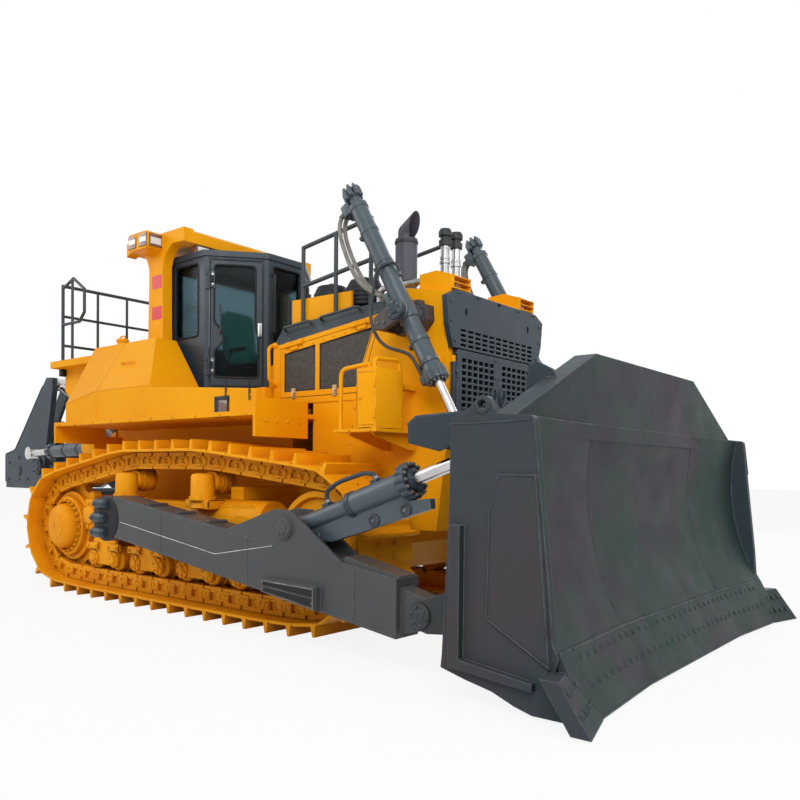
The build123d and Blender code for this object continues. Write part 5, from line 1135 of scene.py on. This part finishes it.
def dressHoodTop():
    rails, silver, caps, yellow, bolts, rings = kits(6)
    for side in sides:
        lean = Vector((0, side * 0.24, 0.16)).normalized()
        for x0, x1 in hoodTop["handles"]:
            path = []
            for x, rise in ((x0, 0.0), (x0, 0.075), (x1, 0.075), (x1, 0.0)):
                y, z = stripSpot(x, 0.62)
                path.append(spot(x, side * y, z) + lean * rise)
            rails.bar(softCorners(path, 0.05), hoodTop["handle"], 10)
            for x in (x0, x1):
                y, z = stripSpot(x, 0.62)
                rails.turn(spot(x, side * y, z) - lean * 0.004, lean, [(0, 0.034), (0.010, 0.034), (0.014, 0.026)],
                           14)
        # grab hoops beside the cab's foot
        rear = softCorners([spot(1.03, side * 0.93, 2.56), spot(1.02, side * 1.00, 2.60),
                            spot(1.01, side * 1.00, 2.96), spot(1.00, side * 0.93, 3.00)], 0.06)
        yellow.bar(rear, 0.019, 10)
        for z in (2.56, 3.00):
            yellow.turn(spot(1.015, side * 0.896, z), Vector((0, side, 0)),
                        [(0, 0.034), (0.012, 0.034), (0.036, 0.022)], 14)
        for x in (1.20, 1.62, 2.05, 2.46):
            for share in (0.86, 0.16):
                y, z = stripSpot(x, share)
                bolts.bolt(spot(x, side * y, z) - lean * 0.001, lean, 0.011, 0.012, x)
    # two breather tubes with rain caps, on feet on the guard's top
    for x, y in hoodTop["tubes"]:
        r = hoodTop["tube"]
        silver.turn(spot(x, y, 3.36), up, [(0, 0.11), (0.02, 0.11), (0.03, r + 0.004), (0.45, r), (0.452, r + 0.012),
                                           (0.475, r + 0.012), (0.477, r), (0.66, r)], 26)
        caps.turn(spot(x, y, 4.00), up, [(0, r + 0.004), (0.004, r + 0.020), (0.06, r + 0.022), (0.065, r + 0.006),
                                         (0.10, r + 0.004), (0.104, r + 0.024), (0.15, r + 0.026), (0.18, r + 0.010),
                                         (0.184, 0.01)], 26)
        for z in (3.52, 3.86):
            rings.band(spot(x, y, z), up, r - 0.002, r + 0.007, 0.028, 26)
        for a in angles(6):
            bolts.bolt(spot(x + 0.092 * math.cos(a), y + 0.092 * math.sin(a), 3.378), up, 0.009, 0.012, a)
    # charge-air pipes from the hood's crown into the lamp boxes
    pipes = Kit()
    for side in sides:
        for w, z in ((0.70, 3.475), (0.60, 3.405)):
            path = [spot(2.36, side * w, 3.30), spot(2.36, side * w, z), spot(2.945, side * w, z + 0.005)]
            pipes.bar(softCorners(path, 0.07), 0.032, 14)
            for x in (2.50, 2.80):
                pipes.band(spot(x, side * w, z), ahead, 0.030, 0.039, 0.035, 18)
    pipes.make("chargePipes", "silver")
    # bands on the exhaust and the cleaners
    for z in (3.56, 3.985):
        caps.band(spot(2.47, -0.40, z), up, 0.114, 0.124, 0.030, 30)
    for x in (1.34, 1.84):
        caps.band(spot(x, -0.33, 3.42), up, 0.222, 0.231, 0.028, 36)
        caps.turn(spot(x, -0.33, 3.695), up, [(0, 0.17), (0.012, 0.16), (0.026, 0.10), (0.030, 0.045), (0.050, 0.040),
                                              (0.054, 0.006)], 28)
    rails.make("hoodHandles", "rail")
    silver.make("breatherTubes", "silver")
    caps.make("rainCaps", "rubber")
    yellow.make("cabGrabHoops", "yellow")
    bolts.make("hoodBolts", "steel")
    rings.make("pipeClamps", "silver")


frontEnd = {"lampIn": 0.48, "lampOut": 0.78, "lampLow": 3.37, "lampHigh": 3.458}


def dressFront():
    f = frontEnd
    bars, lenses, bolts, handles = kits(4)
    for side, out, _ in flanks:
        mid = side * (f["lampIn"] + f["lampOut"]) / 2
        wide = f["lampOut"] - f["lampIn"] - 0.05
        for k in (-1, 1):
            lamp = spot(3.205, mid + k * wide / 4, (f["lampLow"] + f["lampHigh"]) / 2)
            lenses.turn(lamp, ahead, [(0, 0.040), (0.030, 0.040), (0.040, 0.034), (0.046, 0.020), (0.047, 0.004)], 22)
            bars.band(lamp, ahead, 0.040, 0.050, 0.034, 22)
        # slatted guard in front of the lamps, on two uprights
        for z in (3.352, 3.408, 3.464):
            bars.block(spot(3.300, mid, z), (0.070, wide + 0.045, 0.014), Vector((1, 0, -0.2)), across, 0.004)
        for y in (-0.5, 0.5):
            bars.block(spot(3.302, mid + y * (wide + 0.035), 3.408), (0.055, 0.012, 0.135), soft=0.003)
        for x in (3.00, 3.10):
            bolts.bolt(spot(x, mid, 3.524), up, 0.012, 0.014)
        # mask bolts, and a latch pin at each end
        for y, z in ((0.86, 3.02), (0.86, 3.20), (0.79, 2.84), (0.40, 3.300), (0.0, 3.300), (0.72, 3.300)):
            bolts.bolt(spot(3.359, side * y, z), ahead, 0.013, 0.014, y)
        handles.turn(spot(3.19, side * 0.835, 2.66), out, [(0, 0.045), (0.030, 0.045), (0.040, 0.030), (0.110, 0.024),
                                                           (0.125, 0.032), (0.150, 0.032), (0.158, 0.022)], 16)
        for z in (2.05, 2.55):
            handles.turn(spot(3.10, side * 0.852, z), out, [(0, 0.030), (0.020, 0.030), (0.030, 0.020),
                                                            (0.065, 0.018), (0.070, 0.010)], 14)
    bars.make("lampLouvres", "yellow")
    lenses.make("lampLenses", "lens")
    bolts.make("maskBolts", "slate")
    handles.make("guardPins", "yellow")
    for side, _, mark in flanks:
        body = "grille_door_" + handOf[mark]
        kit = Kit()
        y = side * 0.085
        ring = [spot(3.362, y + side * 0.048 * math.cos(a), 2.36 + 0.085 * math.sin(a)) for a in angles(18)]
        kit.bar(ring, 0.012, 8, True)
        kit.block(spot(3.360, y, 2.36), (0.012, 0.020, 0.15), soft=0.004)
        for z in (1.94, 2.15, 2.55, 2.725):
            for yy in (0.045, 0.745):
                kit.bolt(spot(3.357, side * yy, z), ahead, 0.011, 0.012, z)
        kit.make("grilleLatch" + mark, "slate", body)


dressHoodDoors()
dressHoodTop()
dressFront()
print("hood and front dressed")

boarding = {"out": 1.56, "in": 1.15, "rear": 2.52, "box": 2.80, "front": 3.03, "shelf": 1.985, "top": 2.535,
            "tube": 0.020}


def buildSteps():
    # a shelf on the guard's side, a closed locker on it and two grab rails
    b = boarding
    steps, grip, bolts = kits(3)
    for side, out, _ in flanks:
        plan = [(b["rear"], b["out"]), (b["front"] + 0.015, b["out"]), (b["front"] + 0.015, 0.856), (2.645, 0.896),
                (b["rear"], 0.893)]
        steps.slab([spot(x, side * y, b["shelf"] - 0.030) for x, y in plan], up * 0.030)
        middle = spot((b["box"] + b["front"]) / 2, side * (b["out"] + b["in"]) / 2, (b["shelf"] + b["top"]) / 2)
        steps.block(middle, (b["front"] - b["box"], b["out"] - b["in"], b["top"] - b["shelf"] + 0.004), soft=0.012)
        # webs that carry the shelf and the locker from the guard
        for x, low, high in ((2.66, 1.80, 1.957), (2.95, 1.80, 1.957)):
            wall = 0.897 - 0.107 * max(0.0, x - 2.64)
            web = [(wall, low), (wall + 0.10, low), (b["out"] - 0.06, high - 0.03), (b["out"] - 0.06, high),
                   (wall, high)]
            steps.slab([spot(x, side * y, z) for y, z in web], ahead * 0.020)
        steps.block(spot(b["box"] + 0.115, side * 1.005, 2.40), (0.10, 0.30, 0.06), soft=0.008)
        rear = [(b["rear"] + 0.06, b["shelf"] - 0.004), (b["rear"] + 0.06, 2.545), (b["box"] + 0.13, 2.575),
                (b["box"] + 0.13, b["top"] - 0.02)]
        steps.bar(softCorners(flat(rear, side * (b["out"] - 0.035)), 0.075), b["tube"], 12)
        front = [(b["out"] - 0.02, b["top"] - 0.02), (b["out"] - 0.02, 2.615), (b["in"] + 0.03, 2.635),
                 (b["in"] + 0.03, b["top"] - 0.02)]
        steps.bar(softCorners([spot(b["front"] - 0.03, side * y, z) for y, z in front], 0.05), b["tube"], 12)
        # locker lid's lip, hinges and lock
        lid = oblong(b["box"] + 0.02, 2.02, b["front"] - 0.02, 2.50)
        steps.bar(flat(lid, side * (b["out"] + 0.001)), 0.004, 6, True)
        for z in (2.12, 2.40):
            steps.turn(spot(b["front"] - 0.008, side * (b["out"] + 0.006), z - 0.04), up, [(0, 0.011), (0.08, 0.011)],
                       12)
        grip.turn(spot(b["box"] + 0.05, side * b["out"], 2.27), out,
                  [(0, 0.022), (0.008, 0.022), (0.012, 0.016), (0.012, 0.004)], 16)
        for k in range(5):
            grip.block(spot(b["rear"] + 0.045 + k * 0.050, side * 1.22, b["shelf"] + 0.004), (0.016, 0.52, 0.014),
                       soft=0.003)
        for x in (b["rear"] + 0.05, 2.72, b["front"] - 0.06):
            bolts.bolt(spot(x, side * (b["out"] - 0.001), b["shelf"] - 0.015), out, 0.008, 0.010)
    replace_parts(steps.make("boardingSteps", "yellow"), "side_steps")
    grip.make("stepTreads", "yellow")
    bolts.make("stepBolts", "yellow")


sideWall = {"face": 0.896, "thick": 0.034, "rear": 1.60, "front": 2.655, "low": 1.42, "high": 2.335}


def buildSideWalls():
    # flat side sheets below the hood doors, from the fender to the guard
    w = sideWall
    sheet, bolts = kits(2)
    for side, out, _ in flanks:
        inner = side * (w["face"] - w["thick"])
        # the front sheet overlaps the rear one along a leaning seam
        seam = [(2.035, w["low"]), (2.200, w["high"])]
        rearSheet = [(w["rear"], w["low"]), (seam[0][0], w["low"]), (seam[1][0], w["high"]), (w["rear"], w["high"])]
        frontSheet = [(seam[0][0] - 0.02, w["low"]), (w["front"], w["low"]), (w["front"], w["high"]),
                      (seam[1][0] - 0.02, w["high"])]
        sheet.slab(flat(rearSheet, inner), out * (w["thick"] - 0.006))
        sheet.slab(flat(frontSheet, inner), out * w["thick"])
        # folded foot and the stays that tie the sheet to the hull
        sheet.block(spot((w["rear"] + w["front"]) / 2, side * (w["face"] - 0.045), w["low"] + 0.008),
                    (w["front"] - w["rear"], 0.085, 0.016), soft=0.004)
        for x in (1.75, 2.10, 2.50):
            sheet.block(spot(x, side * 0.715, w["low"] + 0.035), (0.06, 0.34, 0.05), soft=0.006)
        for k in range(5):
            t = 0.10 + 0.20 * k
            bolts.bolt(spot(seam[0][0] + 0.016 + t * (seam[1][0] - seam[0][0]), side * (w["face"] - 0.001),
                            w["low"] + t * (w["high"] - w["low"])), out, 0.009, 0.010, k)
        for z in (1.60, 1.85, 2.10, 2.28):
            bolts.bolt(spot(w["front"] - 0.06, side * (w["face"] - 0.001), z), out, 0.009, 0.010, z)
    sheet.make("sideSheets", "hood")
    bolts.make("sheetBolts", "yellow")


buildSteps()
buildSideWalls()
print("steps and side sheets built")

cabDoor = {"hip": (-0.25, 0.905), "nose": (0.24, 0.31), "start": 0.05, "end": 0.7208, "low": 2.62, "high": 4.195,
           "gap": 0.018}


pane = {"side": 0.906, "back": -0.842, "ahead": -0.378, "front": 0.241, "rear": -1.051, "low": 3.25, "high": 4.15,
        "corner": 0.05, "seal": 0.013}


def dressCab():
    c = cabDoor
    wide = math.dist(c["hip"], c["nose"])
    trim, wipers, lamps, lens, tape = kits(5)
    for side, _, mark in flanks:
        body = "cab_door_" + handOf[mark]
        along = Vector(((c["nose"][0] - c["hip"][0]) / wide, side * (c["nose"][1] - c["hip"][1]) / wide, 0))
        out = Vector((-side * along.y, side * along.x, 0))

        def wall(s, z, off=0.0):
            return spot(c["hip"][0], side * c["hip"][1], z) + along * s + out * off

        # the door's rubber seal, follows its window
        a, b = c["start"] + 0.065, c["end"] - 0.065
        low, high = c["low"] + 0.12, c["high"] - 0.075
        waist = low + 0.36 * (high - low)
        window = [(a, low), (b, low), (b, waist), (b - 0.04, waist + 0.13), (b - 0.04, high), (a, high),
                  (a, waist + 0.18), (a + 0.11, waist + 0.07), (a + 0.11, waist - 0.06), (a, waist - 0.17)]
        seal, metal, dark = kits(3)
        seal.bar(softCorners([wall(s, z, 0.002) for s, z in window], 0.05, True), 0.013, 8, True)
        edge = oblong(c["start"] + c["gap"], c["low"] + c["gap"], c["end"] - c["gap"], c["high"] - c["gap"])
        seal.bar(softCorners([wall(s, z, 0.0) for s, z in edge], 0.04, True), 0.006, 6, True)
        for z in (2.88, 3.935):  # the hinges' leaves
            dark.block(wall(c["start"] + 0.045, z, 0.008), (0.060, 0.020, 0.21), along, out, 0.005)
        metal.block(wall(c["end"] - 0.050, 3.335, 0.012), (0.055, 0.022, 0.17), along, out, 0.008)
        metal.bail(wall(c["end"] - 0.050, 3.27, 0.018), wall(c["end"] - 0.050, 3.40, 0.018), out * 0.037, 0.02, 0.009)
        for z in (2.82, 2.94, 3.875, 3.995):
            metal.bolt(wall(c["start"] + 0.045, z, 0.017), out, 0.010, 0.010)
        dark.bail(wall(c["start"] + 0.14, 3.28), wall(c["start"] + 0.14, 3.62), out * 0.06, 0.03, 0.012)
        seal.make("doorSeal" + mark, "dark", body)
        metal.make("doorHandle" + mark, "silver", body)
        dark.make("doorGrab" + mark, "rail", body)
        # grab rail on the nose post and the fixed panes' seals
        post = spot(0.262, side * 0.285, 3.30)
        trim.bail(post, post + up * 0.72, ahead * 0.07, 0.04, 0.014, 10)
        corners = flat(oblong(pane["back"], pane["low"], pane["ahead"], pane["high"]), side * pane["side"])
        trim.bar(softCorners(corners, pane["corner"], True), pane["seal"], 8, True)
        # a wiper on each half of the front pane
        foot = spot(0.262, side * 0.20, 2.93)
        wipers.turn(foot - ahead * 0.022, ahead, [(0, 0.026), (0.020, 0.026), (0.028, 0.016)], 14)
        tip = spot(0.268, side * 0.05, 3.52)
        wipers.bar([foot, foot + (tip - foot) * 0.5 + ahead * 0.012, tip], 0.008, 8)
        wipers.block(tip - ahead * 0.008, (0.012, 0.018, 0.52), soft=0.003)
        # work lamps in the roof's end boxes, and one under its front
        for x in (-1.155, -0.925):
            base = spot(x, side * 1.330, 4.44)
            lamps.block(base, (0.165, 0.018, 0.160), soft=0.006)
            lens.block(base + Vector((0, side * 0.008, 0)), (0.135, 0.012, 0.062), soft=0.004)
        base = spot(-0.832, side * 1.215, 4.44)
        lamps.block(base, (0.018, 0.185, 0.160), soft=0.006)
        lens.block(base + ahead * 0.008 - up * 0.010, (0.012, 0.155, 0.085), soft=0.004)
        base = spot(-0.47, side * 0.80, 4.335)
        lamps.block(base, (0.10, 0.20, 0.10), soft=0.010)
        lamps.bar([base + up * 0.05, base + up * 0.066], 0.014, 8)
        lens.block(base + ahead * 0.050, (0.012, 0.165, 0.070), soft=0.004)
        # two red bands on each post
        for z in (3.965, 3.575):
            tape.block(spot(-0.960, side * 1.1008, z), (0.205, 0.003, 0.165))
    for x, half, low in ((pane["front"], 0.24, 2.96), (pane["rear"], 0.685, pane["low"])):
        corners = [spot(x, y, z) for y, z in oblong(-half, low, half, pane["high"])]
        trim.bar(softCorners(corners, pane["corner"], True), pane["seal"], 8, True)
    trim.make("cabTrim", "dark")
    wipers.make("cabWipers", "dark")
    lamps.make("workLampFrames", "amber")
    lens.make("workLampLenses", "lens")
    tape.make("redBands", "tape")


dressCab()
print("cab dressed")

operatorSeat = {"middle": (-0.38, 0.0, 3.045), "size": (0.52, 0.56, 0.135), "back": (-0.685, 0.0, 3.385),
                "backSize": (0.13, 0.52, 0.66), "backLean": -7.5, "crown": 0.022, "fold": 0.010}


def pillow(name, middle, size, tilt, crown, fold, key):
    # a crowned pad: rounded box, sides drawn in, soft folds of a loose cover
    bm = bmesh.new()
    bmesh.ops.create_cube(bm, size=2.0)
    bmesh.ops.subdivide_edges(bm, edges=bm.edges[:], cuts=15, use_grid_fill=True)
    turn = Matrix.Rotation(math.radians(tilt), 3, "Y")
    for v in bm.verts:
        x, y, z = v.co
        norm = (abs(x) ** 7 + abs(y) ** 7 + abs(z) ** 7) ** (1 / 7)
        x, y, z = x / norm, y / norm, z / norm
        thin = min(range(3), key=lambda i: size[i])
        p = [x, y, z]
        wide = [i for i in range(3) if i != thin]
        swell = (1 - p[wide[0]] ** 2) * (1 - p[wide[1]] ** 2)
        draw = [1 - 0.035 * (1 - p[wide[1]] ** 2), 1 - 0.035 * (1 - p[wide[0]] ** 2)]
        q = [p[i] * size[i] / 2 for i in range(3)]
        q[wide[0]] *= draw[0]
        q[wide[1]] *= draw[1]
        if p[thin] > 0:
            q[thin] += crown * swell
            for s in (-0.33, 0.33):  # sewn channels across the pad
                q[thin] -= 0.010 * math.exp(-((p[wide[0]] - s) / 0.05) ** 2) * swell
        here = Vector(q)
        here += up * fold * (mathNoise.noise(here * 9) + 0.5 * mathNoise.noise(here * 23))
        v.co = spot(*middle) + turn @ here
    mesh = bpy.data.meshes.new(name)
    bm.to_mesh(mesh)
    bm.free()
    mesh.shade_smooth()
    mesh.materials.append(finish[key])
    obj = mount(bpy.data.objects.new(name, mesh), "tractor")
    soften = obj.modifiers.new("soften", "SUBSURF")
    soften.levels = soften.render_levels = 1
    return obj


def buildSeat():
    s = operatorSeat
    cushion = pillow("seatCushion", s["middle"], s["size"], 0, s["crown"], s["fold"] * 0.5, "cover")
    pillow("seatBack", s["back"], s["backSize"], s["backLean"], s["crown"], s["fold"], "cover")
    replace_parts(cushion, "seat")
    stand, pads = kits(2)
    for k in range(6):
        z = 2.615 + k * 0.052
        stand.block(spot(-0.38, 0, z + 0.026), (0.30 - 0.02 * (k % 2), 0.34 - 0.02 * (k % 2), 0.054), soft=0.010)
    stand.block(spot(-0.38, 0, 2.955), (0.46, 0.50, 0.045), soft=0.012)
    for side in sides:
        stand.block(spot(-0.40, side * 0.262, 3.17), (0.30, 0.05, 0.05), soft=0.015)
        stand.bar([spot(-0.56, side * 0.262, 2.97), spot(-0.52, side * 0.262, 3.16)], 0.016, 8)
        stand.bar(softCorners([spot(0.09, side * 0.14, 3.20), spot(0.075, side * 0.14, 3.33),
                               spot(0.045, side * 0.14, 3.38)], 0.04), 0.012, 8)
        pads.turn(spot(0.045, side * 0.14, 3.365), up, [(0, 0.016), (0.015, 0.026), (0.045, 0.028), (0.06, 0.018),
                                                        (0.063, 0.004)], 14)
    panel = [(0.04, 2.61), (0.15, 2.61), (0.15, 3.17), (0.115, 3.235), (0.055, 3.20), (0.04, 3.16)]
    stand.slab(flat(panel, -0.24), Vector((0, 0.48, 0)))
    for y in (-0.12, 0.0, 0.12):
        pads.turn(spot(0.085, y, 3.212), Vector((-0.5, 0, 0.85)),
                  [(0, 0.036), (0.008, 0.036), (0.010, 0.030), (0.006, 0.028), (0.006, 0.004)], 18)
    stand.make("operatorStand", "rubber")
    pads.make("controlKnobs", "dark")


tanks = {"face": 1.7205, "bead": 0.005}


def dressTanks():
    seams, caps, bolts, boxes, treads, covers = kits(6)
    for side, out, _ in flanks:
        y = side * tanks["face"]
        slope = Vector((0, side * 0.84, 0.543)).normalized()
        # seams down the tank at its bend and along the knee
        seams.bar([spot(-1.335, y, 2.22), spot(-1.335, y, 2.56), spot(-1.335, side * 1.3005, 3.2095)], tanks["bead"],
                  6)
        seams.bar([spot(-2.05, y, 2.437), spot(-1.335, y, 2.562), spot(-0.21, y, 2.562)], tanks["bead"], 6)
        lid = oblong(-1.46, 1.10, -0.78, 1.27)
        seams.bar(softCorners([spot(x, side * w, 3.211) for x, w in lid], 0.05, True), 0.007, 8, True)
        # filler cap with its grip
        base = spot(-1.62, side * 1.17, 3.205)
        caps.turn(base, up, [(0, 0.095), (0.018, 0.095), (0.022, 0.070), (0.055, 0.068), (0.058, 0.082),
                             (0.092, 0.080), (0.100, 0.066), (0.100, 0.010)], 26)
        caps.bar(softCorners([base + up * 0.095 - ahead * 0.06, base + up * 0.135 - ahead * 0.05,
                              base + up * 0.135 + ahead * 0.05, base + up * 0.095 + ahead * 0.06], 0.02), 0.009, 8)
        # hand grip on the slope
        mid = spot(-0.95, side * 1.50, 2.886) + slope * 0.002
        caps.bail(mid - ahead * 0.12, mid + ahead * 0.12, slope * 0.045, 0.03, 0.012)
        # a dark lamp box near the tank's front foot, with its cover
        box = spot(1.09, side * 1.716, 2.255)
        boxes.block(box, (0.235, 0.030, 0.220), ahead, out, 0.008)
        for k in (-1, 1):
            boxes.turn(box + ahead * (k * 0.090) + up * 0.085 + out * 0.014, out,
                       [(0, 0.010), (0.006, 0.010), (0.008, 0.006)], 6)
        covers.block(box + ahead * 0.030 - up * 0.012 + out * 0.013, (0.140, 0.014, 0.150), ahead, out, 0.004)
        # short chains that hold the walkway's pins
        for x, z in ((1.157, 2.52), (1.525, 2.49)):
            for k in range(6):
                c = spot(x, side * 1.727, z - 0.033 * k)
                wide = ahead if k % 2 else across
                oval = [c + wide * (0.011 * math.cos(a)) + up * (0.021 * math.sin(a)) for a in angles(10)]
                boxes.bar(oval, 0.004, 6, True)
        for k in range(10):
            bolts.bolt(spot(-2.20 + k * 0.41, side * 1.7395, 2.175), out, 0.013, 0.014, k)
        for k in range(4):
            bolts.bolt(spot(1.6295, side * (1.15 + 0.15 * k), 2.10), ahead, 0.013, 0.014, k)
        # anti-slip bars on the walkway
        for k in range(20):
            treads.block(spot(-0.08 + k * 0.082, side * 1.33, 2.336), (0.022, 0.52, 0.014), soft=0.003)
        # a work lamp behind the deck and a tail lamp at the skirt
        lamp = spot(-3.40, side * 0.98, 3.02)
        boxes.block(lamp, (0.10, 0.18, 0.13), soft=0.012)
        boxes.block(spot(-2.328, side * 1.60, 2.09), (0.03, 0.12, 0.10), soft=0.008)
    for k in range(22):
        treads.block(spot(-3.40 + k * 0.048, 0, 3.156), (0.016, 1.80, 0.013), soft=0.003)
    # a hatch on the rear tank, with two hinges
    hatch = spot(-1.90, 0, 3.16)
    caps.block(hatch, (0.52, 0.70, 0.035), soft=0.010)
    for yy in (-0.22, 0.22):
        caps.turn(hatch + Vector((0.27, yy - 0.05, 0.012)), across, [(0, 0.016), (0.10, 0.016)], 14)
    seams.make("tankSeams", "yellow")
    caps.make("tankCaps", "yellow")
    bolts.make("fenderBolts", "yellow")
    boxes.make("lampBoxes", "dark")
    covers.make("boxCovers", "amber")
    treads.make("walkwayTreads", "yellow")
    lens = Kit()
    for side in sides:
        lens.block(spot(-3.448, side * 0.98, 3.02), (0.008, 0.145, 0.095), soft=0.003)
        lens.turn(spot(-2.344, side * 1.60, 2.09), -ahead, [(-0.004, 0.034), (0.004, 0.034), (0.010, 0.026),
                                                            (0.012, 0.004)], 18)
    lens.make("rearLenses", "lens")


ripper = {"b": (-4.90, 1.64), "c": (-2.80, 2.01), "d": (-4.60, 2.96), "e": (-2.83, 1.90), "f": (-4.70, 1.84)}


def dressRipper():
    r = ripper
    beam, bolts = kits(2)
    for side, out, _ in flanks:
        base = spot(r["b"][0], side * 0.646, r["b"][1])
        beam.turn(base, out, [(0, 0.150), (0.026, 0.150), (0.036, 0.138), (0.036, 0.090), (0.052, 0.080),
                              (0.052, 0.010)], 32)
        bolts.rosette(base + out * 0.034, out, 0.115, 8, 0.016, 0.020)
        for x, z in ((-5.90, 1.70), (-5.90, 1.42), (-5.55, 1.42), (-5.25, 1.42), (-5.55, 1.78)):
            bolts.bolt(spot(x, side * 0.6495, z), out, 0.020, 0.022, x)
        for line in ([(-4.75, 2.93), (-5.66, 1.93), (-5.98, 1.83)], [(-5.98, 1.40), (-5.83, 1.31), (-5.12, 1.31)]):
            beam.bar(flat(line, side * 0.651), 0.007, 8)
    # the shank's pin, its shin guard and its pointed tooth
    for k in (-1, 1):
        beam.turn(spot(-5.56, k * 0.60, 1.56), across * k, [(0, 0.10), (0.055, 0.10), (0.070, 0.085), (0.075, 0.010)],
                  24)
    beam.block(spot(-5.56, 0, 1.862), (0.52, 0.26, 0.03), soft=0.010)
    for z in (1.98, 2.14, 2.30):
        for k in (-1, 1):
            bolts.turn(spot(-5.56, k * 0.058, z), across * k,
                       [(0, 0.052), (0.008, 0.052), (0.012, 0.046), (0.012, 0.034), (0.004, 0.032), (0.004, 0.004)],
                       20)
    tooth = [(-5.46, 0.80), (-5.36, 0.715), (-5.165, 0.632), (-5.215, 0.735), (-5.30, 0.86)]
    bolts.slab(flat(tooth, -0.078), Vector((0, 0.156, 0)))
    for k in (-1, 1):
        bolts.turn(spot(-5.35, k * 0.076, 0.775), across * k, [(0, 0.026), (0.010, 0.026), (0.013, 0.018)], 14)
    beam.make("ripperCaps", "slate", "ripper_beam")
    bolts.make("ripperBolts", "steel", "ripper_beam")
    for name, p, q, y, length, body in (("ripTilt", r["c"], r["d"], 0.43, 1.30, "ripper_tilt_barrels"),
                                        ("ripLift", r["e"], r["f"], 0.85, 1.25, "ripper_lift_barrels")):
        lobes = Kit()
        for side in sides:
            line = Line(p, q, y, side)
            for a in angles(10):
                lobes.turn(line.round(length - 0.09, 0.106, a), line.u,
                           [(0, 0.014), (0.005, 0.018), (0.088, 0.018), (0.094, 0.013)], 10)
                lobes.bolt(line.round(length - 0.002, 0.086, a), line.u, 0.013, 0.020, a)
            for s in (0.35, 0.75):
                lobes.band(line.at(s), line.u, 0.095, 0.104, 0.045, 26)
            lobes.block(line.at(0.22, 0, 0.105), (0.10, 0.10, 0.06), line.u, line.out, 0.008)
            lobes.block(line.at(length - 0.17, 0, 0.105), (0.09, 0.09, 0.06), line.u, line.out, 0.008)
            lobes.bail(line.at(0.22, 0, 0.12), line.at(length - 0.17, 0, 0.12), line.top * 0.045, 0.05, 0.016, 10)
        lobes.make(name + "Glands", "slate", body)


trunnion = {"x": 3.03, "z": 3.085, "wall": 0.845, "inner": 0.985, "arm": 1.240, "armOut": 1.298, "cap": 0.092}


def buildYokes():
    # a bearing block on the guard's side, a bridge behind the barrel and an outer arm with a bolted cap
    t = trunnion
    block, caps, bolts = kits(3)
    x, z = t["x"], t["z"]
    inner = [(-0.22, -0.17), (0.05, -0.15), (0.13, -0.05), (0.12, 0.09), (0.0, 0.13), (-0.14, 0.08), (-0.25, -0.06)]
    outer = [(-0.25, -0.155), (-0.13, -0.165), (0.05, -0.085), (0.085, -0.02), (0.06, 0.06), (-0.02, 0.085),
             (-0.18, -0.01), (-0.25, -0.05)]
    for side, out, _ in flanks:
        block.slab([spot(x + a, side * t["wall"], z + b) for a, b in inner], out * (t["inner"] - t["wall"]))
        block.slab([spot(x + a, side * t["arm"], z + b) for a, b in outer], out * (t["armOut"] - t["arm"]))
        block.block(spot(x - 0.21, side * 1.08, z - 0.105), (0.085, 0.43, 0.105), soft=0.012)
        block.block(spot(x - 0.04, side * 0.925, z + 0.115), (0.16, 0.09, 0.07), soft=0.012)
        base = spot(x, side * t["armOut"], z)
        caps.turn(base, out, [(-0.03, t["cap"]), (0.010, t["cap"]), (0.018, 0.082), (0.018, 0.044), (0.032, 0.038),
                              (0.032, 0.008)], 28)
        bolts.rosette(base + out * 0.016, out, 0.064, 6, 0.011, 0.014)
        for a, b in ((-0.20, -0.105), (-0.12, -0.10)):
            bolts.bolt(spot(x + a, side * (t["armOut"] - 0.001), z + b), out, 0.014, 0.018, a)
        for a, b in ((0.09, -0.06), (0.08, 0.07), (-0.16, 0.02)):
            bolts.bolt(spot(x + a, side * (t["inner"] - 0.001), z + b), out, 0.013, 0.016, b)
    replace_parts(block.make("trunnionYokes", "cast"), "lift_yokes")
    caps.make("yokeCaps", "slate")
    bolts.make("yokeBolts", "steel")


buildSeat()
dressTanks()
dressRipper()
buildYokes()
print("seat, tanks, ripper and yokes dressed")

bpy.context.view_layer.update()
